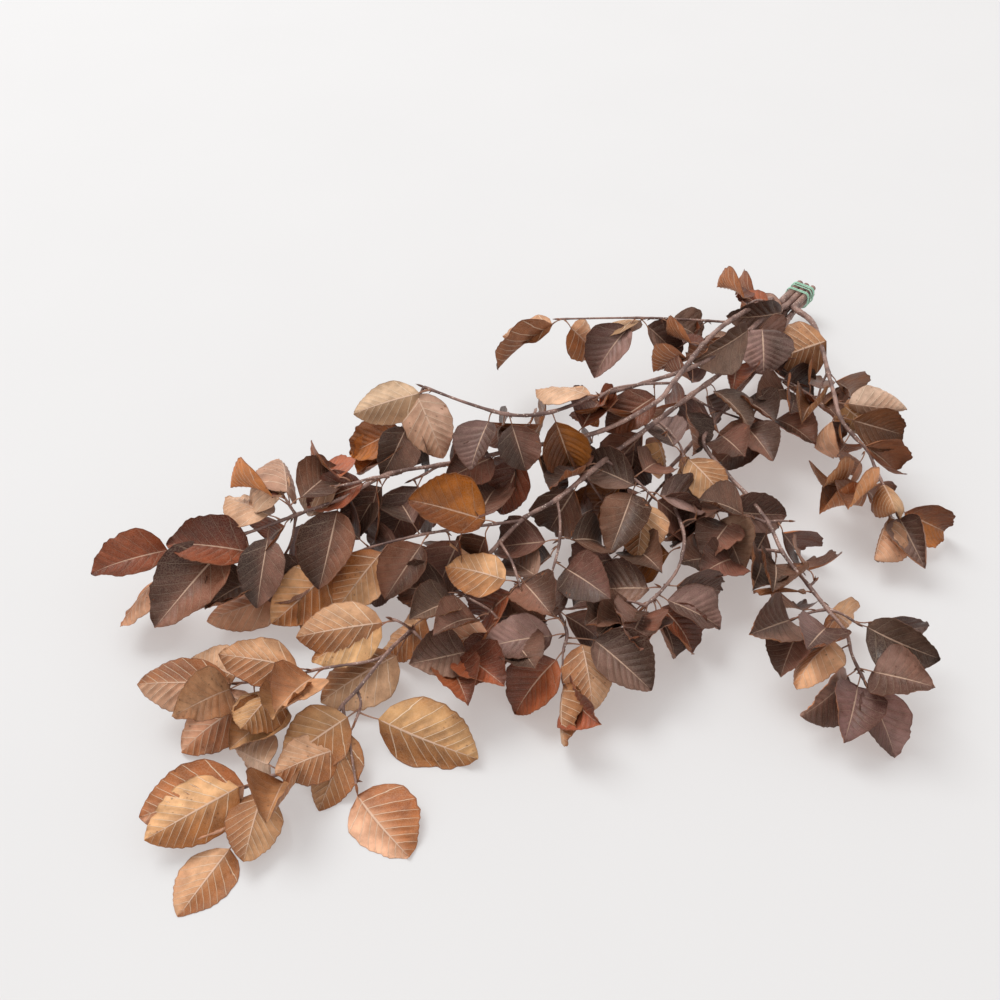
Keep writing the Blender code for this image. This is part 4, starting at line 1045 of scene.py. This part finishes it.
# Leaves that have tints of their own: dark and rust ones in the tan front spray, whose tips lie left of and
# below these pixels, given tan darkened as painted shade; those down the right edge; and the tan leaf beside the
# string
SHADED_TAN = ((206, 152, 110), (146, 92, 54), (176, 122, 84), (128, 78, 46))
FRONT_LEFT_OF, FRONT_BELOW = 340, 630
EDGE_BROWN = ((170, 106, 66), (112, 64, 36), (196, 134, 92), (150, 92, 56))
STRING_TAN = ((196, 134, 96), (168, 108, 72), (196, 134, 96), (150, 92, 58))
# Drawn for each leaf: how far apart its painted lit half and painted shaded half are, how deep the blade and its
# tip are, how light it is with the underside up and not, its hue
PAINTED_LIGHT_HALVES_APART, DEPTHS, TIP_DEPTHS = (0.25, 0.65), (0.30, 0.70), (-0.15, 0.35)
OWN_SHADES = {True: (0.80, 1.24), False: (0.66, 1.34)}
OWN_GREENS, OWN_BLUES = (0.95, 1.05), (0.76, 1.08)
# Two blades of the front spray lie one on the other. They are flatter, and the upper one is lifted a little.
ON_TOP, UNDER_IT, LIFTED = 10, 65, np.array([0.0, 0.0, 0.005])


def blade_form(base, tip, roll, breadth, look, number, curls):
    """A fine blade on its lie. Row t and column v are the shares along it and from midrib to margin.
    Half width is f(u) = u^a (1 - u)^b, toothed at the veins. Rows climb as straight as the side veins:
    u = t + slant (1 - (1 - t)^6) |v| f(u), found by halving between t and the tip. The blade bends like a
    gutter: a point goes width sin(curl v) / curl out and width (1 - cos(curl v)) / curl up, with the width
    grown by 1 + curl^2 / 6. Height is that + fold + arch + the swings of the plain solid's margins + pleats
    between veins + frills, hooks and a bent tip drawn for this leaf. Returns middle, way out, t and v."""
    near, underside_up = look != DARK, look in UNDERSIDE_UP
    t, v = np.meshgrid(np.linspace(0, 1, ROWS[near]), COLUMNS[near], indexing="ij")
    along, side, up = leaf_axes(base, tip, roll)
    length, half, fold, arch, stations, wave = leaf_form(base, tip, breadth, look, number)
    draw = np.random.default_rng(FINE_SEEDS + number)
    peak = LEAF_ENDS[0] / sum(LEAF_ENDS)
    low, high = t, np.ones_like(t)
    for _ in range(HALVINGS):
        u = (low + high) / 2
        width = (u / peak) ** LEAF_ENDS[0] * ((1 - u) / (1 - peak)) ** LEAF_ENDS[1]
        short = u < t + SLANT * (1 - (1 - t) ** 6) * np.abs(v) * width
        low, high = np.where(short, u, low), np.where(short, high, u)
    ripple = np.cos(2 * math.pi * VEINS * t)
    width = half * np.maximum(width * (1 + TOOTH * ripple * v**4), NARROWEST)
    curl = draw.uniform(*curls) * (CURL_AT_BASE + CURL_GROWS * u)
    width = width * (1 + np.minimum(curl, MOST_GROWN) ** 2 / 6)
    across = np.sin(curl * v) / curl * width * math.cos(fold)
    places = [0] + [station for station, _ in stations] + [1]
    swings = [np.interp(u, places, [0, *wave[:, i], 0]) for i in (0, 1)]
    lift = (np.sqrt(v**2 + 0.01) - 0.1) * width * math.sin(fold) / 0.905 + arch * 4 * u * (1 - u)
    lift += np.where(v < 0, swings[0], -swings[1]) * v**2
    proud = 1 if underside_up else -1
    lift -= proud * width * (1 - np.cos(curl * v)) / curl
    size = half / USUAL_HALF
    lift += proud * size * PLEAT[near] * ripple * np.minimum(np.abs(v) / 0.2, 1) * (1 - np.abs(v) ** 3)
    frill = draw.uniform(*FRILL_SPREAD, 2) * FRILL_HEIGHTS[underside_up]
    phase = draw.uniform(0, 2 * math.pi, 4)
    count = draw.uniform(*FRILL_COUNTS, 2)
    edge = np.abs(v) ** 2.5
    for i, half_of in enumerate((v < 0, v > 0)):
        waves = np.sin(2 * math.pi * count[i] * t + phase[i])
        waves = waves + 0.3 * np.sin(4.7 * math.pi * count[i] * t + phase[i + 2])
        lift += half_of * edge * frill[i] * size * waves
        hook = draw.uniform(*HOOKS) * half * np.sin(math.pi * np.clip(u, 0, 1))
        lift += half_of * np.abs(v) ** 4 * hook
    lift += draw.uniform(*TIP_BENDS) * length * np.maximum(u - TIP_BENDS_FROM, 0) ** 2 * 7
    bend = draw.uniform(*SIDE_BENDS) * length * (u**2 - 0.3 * u)
    points = base + length * u[..., None] * along + (across + bend)[..., None] * side + lift[..., None] * up
    points[..., 2] = np.maximum(points[..., 2], 2 * HALF_THICK)
    rows_way = np.gradient(points, axis=0)
    columns_way = np.gradient(points, axis=1)
    out = np.cross(rows_way, columns_way)
    out /= np.maximum(np.linalg.norm(out, axis=2), 1e-12)[..., None]
    out *= np.sign((out @ up).sum())
    return points, out, t, v


def slab_quads(rows, columns):
    """Quads of a closed slab: a top grid, a bottom grid and the rim between them."""
    i, j = np.meshgrid(np.arange(rows - 1), np.arange(columns - 1), indexing="ij")
    a = i * columns + j
    top = np.stack([a, a + 1, a + columns + 1, a + columns], axis=-1).reshape(-1, 4)
    below = rows * columns
    rim = np.concatenate([
        np.arange(columns - 1), np.arange(rows - 1) * columns + columns - 1,
        rows * columns - 1 - np.arange(columns - 1), (rows - 1 - np.arange(rows - 1)) * columns,
    ])
    ahead = np.roll(rim, -1)
    return np.vstack([top, top[:, ::-1] + below, np.stack([rim, rim + below, ahead + below, ahead], axis=1)])


def leaf_parts(lie, look, number, curls, tints):
    """A leaf's slab and its stalk, with the attributes that its material reads."""
    root, base, tip, roll, breadth = lie
    points, out, t, v = blade_form(base, tip, roll, breadth, look, number, curls)
    rows, columns = t.shape
    rib = RIB_STANDS * np.exp(-((v / RIB_REACH) ** 2)) * (1 - 0.8 * t)
    underside_up = look in UNDERSIDE_UP
    seen_rib = rib * (1.0 if underside_up else RIB_ABOVE)
    top = points + out * (HALF_THICK + seen_rib)[..., None]
    bottom = points - out * (HALF_THICK + rib - seen_rib)[..., None]
    both = np.concatenate([top.reshape(-1, 3), bottom.reshape(-1, 3)])
    both[:, 2] = np.maximum(both[:, 2], 0.0)
    quads = slab_quads(rows, columns)
    _, _, up = leaf_axes(base, tip, roll)
    if np.cross(top[5, 2] - top[5, 1], top[6, 1] - top[5, 1]) @ up < 0:
        quads = quads[:, ::-1]
    draw = np.random.default_rng(TINT_SEEDS + number)
    light, deep, back_light, back_deep = (linear(*tint) for tint in tints)
    # Painted light: one half of the blade is paler, as if lit with a sheen, and the other deeper, as painted
    # shade; the tip has browned.
    painted_light_halves = draw.choice((-1, 1)) * draw.uniform(*PAINTED_LIGHT_HALVES_APART) * np.tanh(4 * v)
    depth = draw.uniform(*DEPTHS) + painted_light_halves + draw.uniform(*TIP_DEPTHS) * t + 0.2 * v**4
    own = draw.uniform(*OWN_SHADES[underside_up])
    warm = np.array([1.0, draw.uniform(*OWN_GREENS), draw.uniform(*OWN_BLUES)])
    depth = np.clip(depth, 0, 1)[..., None]
    fronts = (light + (deep - light) * depth) * own * warm
    backs = (back_light + (back_deep - back_light) * depth) * own * warm
    age = draw.uniform(0, 1)
    under = float(underside_up)
    flat_uv = np.stack([t, v], axis=-1).reshape(-1, 2)
    kept = {
        "blade": np.vstack([flat_uv, flat_uv]),
        "tint": np.vstack([fronts.reshape(-1, 3), backs.reshape(-1, 3)]),
        "under": np.repeat([under, 1.0 - under], rows * columns),
        "age": np.full(2 * rows * columns, age),
    }
    bow = up * draw.uniform(*STALK_BOWS)
    line = np.array([root, root + (base - root) * 0.4 + bow, root + (base - root) * 0.75 + bow * 0.8, base])
    line = np.vstack([smooth(line, STALK_STEP), points[1, columns // 2]])
    line[:, 2] = np.maximum(line[:, 2], STALK_FINE)
    share = np.linspace(0, 1, len(line))
    radii = STALK_FINE * (1.35 - 0.45 * share**0.4 - 0.15 * share)
    stalk, stalk_quads = round_bar(line, radii, STALK_SIDES)
    stalk_kept = {
        "blade": np.tile([0.5 / VEINS, 0.5], (len(stalk), 1)),
        "tint": np.tile(STALK_COLOUR * own, (len(stalk), 1)),
        "under": np.ones(len(stalk)),
        "age": np.full(len(stalk), age),
    }
    return [(both, quads, kept), (stalk, stalk_quads, stalk_kept)]


def vein_group():
    """The pattern of a beech blade, from the share along (t) and the share across (v): the side veins lie where
    VEINS * t is whole, the midrib where v is 0, a net of small veins between, and the margin where |v| is 1."""
    tree = bpy.data.node_groups.new("leaf veins", "ShaderNodeTree")
    tree.interface.new_socket("Blade", in_out="INPUT", socket_type="NodeSocketVector")
    sockets = ("Side veins", "Midrib", "Net", "Margin", "Height")
    for socket in sockets:
        tree.interface.new_socket(socket, in_out="OUTPUT", socket_type="NodeSocketFloat")
    given = tree.nodes.new("NodeGroupInput")
    apart = add(tree, "ShaderNodeSeparateXYZ", {0: given.outputs["Blade"]})
    t, v = apart.outputs[0], apart.outputs[1]
    across = sums(tree, "ABSOLUTE", v)
    wobble = add(tree, "ShaderNodeTexNoise", {"Vector": given.outputs["Blade"], "Scale": 5.0, "Detail": 1.0})
    shaken = sums(tree, "MULTIPLY_ADD", wobble.outputs[0], 0.012, t)
    veins_along = sums(tree, "MULTIPLY", sums(tree, "SUBTRACT", shaken, 0.006), float(VEINS))
    off_vein = sums(tree, "PINGPONG", veins_along, 0.5)
    taper = ramp(tree, across, 0.2, 1.0, 0.062, 0.036)
    veins = ramp(tree, sums(tree, "DIVIDE", off_vein, taper), 0.35, 1.0, 1.0, 0.0)
    veins = sums(tree, "MULTIPLY", veins, ramp(tree, across, 0.90, 1.0, 1.0, 0.2))
    veins = sums(tree, "MULTIPLY", veins, ramp(tree, t, 0.03, 0.09))
    veins = sums(tree, "MULTIPLY", veins, ramp(tree, t, 0.84, 0.92, 1.0, 0.15))
    rib_half = ramp(tree, t, 0.0, 1.0, 0.046, 0.024)
    midrib = ramp(tree, sums(tree, "DIVIDE", across, rib_half), 0.5, 1.0, 1.0, 0.0)
    finely = {0: given.outputs["Blade"], 1: (64.0, 20.0, 1.0)}
    net_place = add(tree, "ShaderNodeVectorMath", finely, operation="MULTIPLY").outputs[0]
    cells = add(tree, "ShaderNodeTexVoronoi", {"Vector": net_place, "Scale": 1.0}, feature="DISTANCE_TO_EDGE")
    net = ramp(tree, cells.outputs["Distance"], 0.02, 0.16, 1.0, 0.0)
    margin = ramp(tree, across, 0.955, 0.985)
    raised = sums(tree, "MAXIMUM", veins, sums(tree, "MULTIPLY", midrib, 1.3))
    height = sums(tree, "ADD", raised, sums(tree, "MULTIPLY", net, 0.16))
    gives = tree.nodes.new("NodeGroupOutput")
    for socket, value in zip(sockets, (veins, midrib, net, margin, height)):
        tree.links.new(value, gives.inputs[socket])
    return tree


def leaf_look(veins):
    """The blade's tint, its own colour with a painted lit half and a painted shaded half, paler along the veins,
    mottled, freckled with small brown spots, more on some leaves, with a thin dried margin. Veins stand up on
    the underside and lie in grooves on the upper side."""
    look, tree, shader = new_look("dried beech leaf")
    where = add(tree, "ShaderNodeTexCoord", {}).outputs["Object"]
    blade = add(tree, "ShaderNodeUVMap", {}, uv_map="blade").outputs[0]
    read = {
        name: add(tree, "ShaderNodeAttribute", {}, attribute_name=name).outputs[out]
        for name, out in (("tint", "Color"), ("under", "Fac"), ("age", "Fac"))
    }
    group = add(tree, "ShaderNodeGroup", {}, node_tree=veins)
    tree.links.new(blade, group.inputs["Blade"])
    lines = group.outputs
    mottle = noise(tree, where, 95.0, 4.0, 0.6)
    broad = noise(tree, where, 28.0, 2.0)
    freckle = add(tree, "ShaderNodeTexVoronoi", {"Vector": where, "Scale": 260.0}).outputs["Distance"]
    patchy = noise(tree, where, 60.0, 2.0)
    shade = blended(tree, ramp(tree, mottle, 0.3, 0.7), linear(205, 200, 195), linear(255, 255, 255))
    colour = blended(tree, 1.0, read["tint"], shade, "MULTIPLY")
    ambered = blended(tree, 1.0, colour, linear(235, 190, 150), "MULTIPLY")
    colour = blended(tree, ramp(tree, broad, 0.45, 0.75, 0.0, 0.4), colour, ambered)
    pale = blended(tree, 0.68, colour, linear(246, 220, 192))
    net_share = sums(tree, "MULTIPLY", lines["Net"], 0.14)
    colour = blended(tree, net_share, colour, pale)
    vein_share = sums(tree, "MULTIPLY", lines["Side veins"], ramp(tree, read["under"], 0.0, 1.0, 0.20, 0.95))
    colour = blended(tree, vein_share, colour, pale)
    rib_share = sums(tree, "MULTIPLY", lines["Midrib"], ramp(tree, read["under"], 0.0, 1.0, 0.62, 0.85))
    colour = blended(tree, rib_share, colour, linear(220, 186, 162))
    spotted = sums(tree, "SUBTRACT", 0.64, sums(tree, "MULTIPLY", read["age"], 0.22))
    where_spotted = ramp(tree, sums(tree, "SUBTRACT", patchy, spotted), 0.0, 0.11)
    spots = sums(tree, "MULTIPLY", ramp(tree, freckle, 0.10, 0.24, 1.0, 0.0), where_spotted)
    colour = blended(tree, sums(tree, "MULTIPLY", spots, 0.55), colour, linear(84, 44, 24))
    dried = blended(tree, 0.55, colour, linear(74, 40, 24))
    colour = blended(tree, sums(tree, "MULTIPLY", lines["Margin"], 0.75), colour, dried)
    tree.links.new(colour, shader.inputs["Base Color"])
    duller = sums(tree, "MULTIPLY", read["under"], 0.12)
    rough = sums(tree, "ADD", ramp(tree, mottle, 0.3, 0.7, 0.30, 0.46), duller)
    tree.links.new(rough, shader.inputs["Roughness"])
    way = ramp(tree, read["under"], 0.0, 1.0, -0.8, 1.0)
    height = sums(tree, "MULTIPLY", lines["Height"], way)
    height = sums(tree, "ADD", height, sums(tree, "MULTIPLY", mottle, 0.5))
    bump = add(tree, "ShaderNodeBump", {"Height": height, "Strength": 0.9, "Distance": 0.0004})
    tree.links.new(bump.outputs[0], shader.inputs["Normal"])
    shader.inputs["Specular IOR Level"].default_value = 0.34
    return look


def curls_of(branch, look, number):
    """How little and how much a leaf may curl."""
    if number >= FIRST_OVER_STEMS or number in (ON_TOP, UNDER_IT):
        return FLATTER
    if number == ROLLED_LEAF:
        return ROLLED_UP
    return EDGE_CURLS if branch == "branch_edge" else CURLS[look]


def tints_of(branch, tip, look, number):
    """A leaf's four tints, by its look and by where its tip is seen."""
    if number == FIRST_OVER_STEMS:
        return STRING_TAN
    if look in (DARK, RUST):
        if branch == "branch_edge":
            return EDGE_BROWN
        across, down = pixels(tip[None])[0]
        # the front spray's dark and rust leaves: tan darkened as painted shade
        if branch == "branch_main" and across < FRONT_LEFT_OF and down > FRONT_BELOW:
            return SHADED_TAN
    return LEAF_TINTS[look]


dried_leaf = leaf_look(vein_group())
for name, lies in leaf_lies.items():
    parts = []
    for lie, look, number, _ in lies:
        tints = tints_of(name, lie[2], look, number)
        if number == ON_TOP:
            lie = (lie[0], lie[1] + LIFTED, lie[2] + LIFTED, *lie[3:])
        parts += leaf_parts(lie, look, number, curls_of(name, look, number), tints)
    joined_piece("leaves_" + name, parts, dried_leaf, name)


# Buds. Long pointed winter buds, chestnut brown, wrapped in many scales. One sits where the stalk of each leaf
# that came clear leaves the wood, beyond the bundle, and one ends each stem and shoot.
BUD_LENGTH, BUD_HALF = 0.0062, 0.00085
BUD_SHARES = np.array([0.0, 0.12, 0.35, 0.6, 0.82, 1.0])
BUD_SWELLS = np.array([0.55, 0.85, 1.0, 0.8, 0.42, 0.08])
BUD_SCALES = np.array([0.1, 0.5, 0.15, 0.6, 0.3, 1.0])  # how far each ring's colour is the tip's
BUD_BROWN, BUD_TIP = linear(150, 92, 52), linear(92, 52, 34)
BUD_SIDES = 6


def bud(start, way, size):
    """A spindle along a way: its radius follows the swells at the shares, and its colour darkens to the tip."""
    line = start + np.outer(BUD_SHARES, way) * BUD_LENGTH * size
    line[:, 2] = np.maximum(line[:, 2], BUD_HALF)
    points, quads = round_bar(line, BUD_HALF * size * BUD_SWELLS, BUD_SIDES)
    scales = np.repeat(BUD_SCALES, BUD_SIDES)[:, None]
    tint = BUD_BROWN + (BUD_TIP - BUD_BROWN) * scales
    return points, quads, {"tint": tint, "cut": np.full(len(points), 0.7)}


for name, lines in fine_lines.items():
    draw = np.random.default_rng(sum(map(ord, name)))
    parts = []
    for lie, _, _, clear in leaf_lies[name]:
        root, base = lie[0], lie[1]
        if clear and root[0] < BUNDLE_START_X:
            way = unit(unit(base - root) + draw.normal(0, 0.35, 3) + 0.3 * UP)
            parts.append(bud(root, way, draw.uniform(0.6, 1.0)))
    for line, *_ in lines:
        parts.append(bud(line[-1], unit(line[-1] - line[-2]), draw.uniform(0.9, 1.4)))
    joined_piece("buds_" + name, parts, beech_bark, name)


# String. A thin mint-green string of three twisted strands, wound round the six butts: two turns side by side,
# a slanting turn, and two more.
STRANDS, STRAND_SIDES = 3, 6
STRAND_RADIUS = 0.00029
STRAND_OFF = 0.00026
TWIST_LENGTH = 0.0032
STRING_STEP = 0.00045
MINT = linear(190, 236, 212)


def strand(line, number):
    """One strand: a helix about the string's line, one twist in TWIST_LENGTH."""
    heading = headings(line)
    out = np.cross(heading, np.array([1.0, 0.0, 0.0]))
    out /= np.linalg.norm(out, axis=1)[:, None]
    other = np.cross(heading, out)
    along = np.concatenate([[0], np.cumsum(np.linalg.norm(np.diff(line, axis=0), axis=1))])
    turn = (2 * math.pi * (along / TWIST_LENGTH + number / STRANDS))[:, None]
    return line + STRAND_OFF * (np.cos(turn) * out + np.sin(turn) * other)


def string_look():
    """Soft mint green, with fine fibres along the strands and a faint fuzz."""
    look, tree, shader = new_look("green string")
    where = add(tree, "ShaderNodeTexCoord", {}).outputs["Object"]
    fibre = noise(tree, where, 2600.0, 3.0, 0.7)
    worn = noise(tree, where, 190.0, 2.0)
    tint = add(tree, "ShaderNodeAttribute", {}, attribute_name="tint").outputs["Color"]
    shade = blended(tree, ramp(tree, fibre, 0.3, 0.7), linear(190, 205, 198), linear(255, 255, 255))
    colour = blended(tree, 1.0, tint, shade, "MULTIPLY")
    colour = blended(tree, ramp(tree, worn, 0.5, 0.7, 0.0, 0.25), colour, linear(196, 240, 218))
    tree.links.new(colour, shader.inputs["Base Color"])
    tree.links.new(ramp(tree, fibre, 0.3, 0.7, 0.75, 0.55), shader.inputs["Roughness"])
    bump = add(tree, "ShaderNodeBump", {"Height": fibre, "Strength": 0.5, "Distance": 0.0002})
    tree.links.new(bump.outputs[0], shader.inputs["Normal"])
    shader.inputs["Sheen Weight"].default_value = 0.3
    return look


string_middle = smooth(string_line(CAD_TURN_POINTS * 2), STRING_STEP)
parts = []
for number in range(STRANDS):
    line = strand(string_middle, number)
    points, quads = round_bar(line, np.full(len(line), STRAND_RADIUS), STRAND_SIDES)
    parts.append((points, quads, {"tint": np.tile(MINT, (len(points), 1))}))
joined_piece("wound_string", parts, string_look(), "tie_string")


# The table and the light: a plain pale table with a painted glow, which lightens the shadows on it and warms
# them, and a broad soft light from the upper left, behind the bunch.
TABLE_HALF = 4.0
# The table's tints are a little blue, so that with the warm painted glow the lit table is neutral and its
# shadows warm.
TABLE_TINTS = linear(160, 165, 168), linear(163, 168, 171)
# Painted glow: light that the table gives off though it is no lamp, which lightens its shadows.
PAINTED_GLOW_COLOUR = (1.0, 0.89, 0.85, 1.0)
LIGHT_FROM = (-2.30, 2.30, 5.00)  # metres along the picture's right, ahead and up
LIGHT_SIZE = 3.6
LIGHT_WATTS = 235.0
LIGHT_COLOUR, FILL_COLOUR = (1.0, 0.985, 0.96), (1.0, 0.985, 0.97, 1.0)
FILL = 0.86
PAINTED_TABLE_GLOW = 0.355

table_mesh = bpy.data.meshes.new("table")
corners = [(-1, -1), (1, -1), (1, 1), (-1, 1)]
table_mesh.from_pydata([(x * TABLE_HALF, y * TABLE_HALF, 0.0) for x, y in corners], [], [(0, 1, 2, 3)])
table = bpy.data.objects.new("table", table_mesh)
bpy.context.scene.collection.objects.link(table)
table_look, tree, shader = new_look("pale table")
where = add(tree, "ShaderNodeTexCoord", {}).outputs["Object"]
cloud = noise(tree, where, 6.0, 2.0)
tree.links.new(blended(tree, cloud, *TABLE_TINTS), shader.inputs["Base Color"])
shader.inputs["Roughness"].default_value = 0.9
# the painted glow, lightening and warming the shadows on the table
shader.inputs["Emission Color"].default_value = PAINTED_GLOW_COLOUR
shader.inputs["Emission Strength"].default_value = PAINTED_TABLE_GLOW
table_mesh.materials.append(table_look)

lamp = bpy.data.objects.new("window_light", bpy.data.lights.new("window light", "AREA"))
lamp.data.shape = "DISK"
lamp.data.size = LIGHT_SIZE
lamp.data.energy = LIGHT_WATTS
lamp.data.color = LIGHT_COLOUR
lamp_place = LIGHT_FROM[0] * RIGHT + LIGHT_FROM[1] * AHEAD + LIGHT_FROM[2] * UP
back = unit(lamp_place)
level = unit(np.cross(UP, back))
lamp_turn = Matrix(np.stack([level, np.cross(back, level), back], axis=1)).to_4x4()
lamp.matrix_world = Matrix.Translation(lamp_place) @ lamp_turn
bpy.context.scene.collection.objects.link(lamp)

world = bpy.data.worlds.new("pale room")
world.use_nodes = True
world.node_tree.nodes["Background"].inputs["Color"].default_value = FILL_COLOUR
world.node_tree.nodes["Background"].inputs["Strength"].default_value = FILL
bpy.context.scene.world = world
bpy.context.scene.view_settings.view_transform = "Standard"
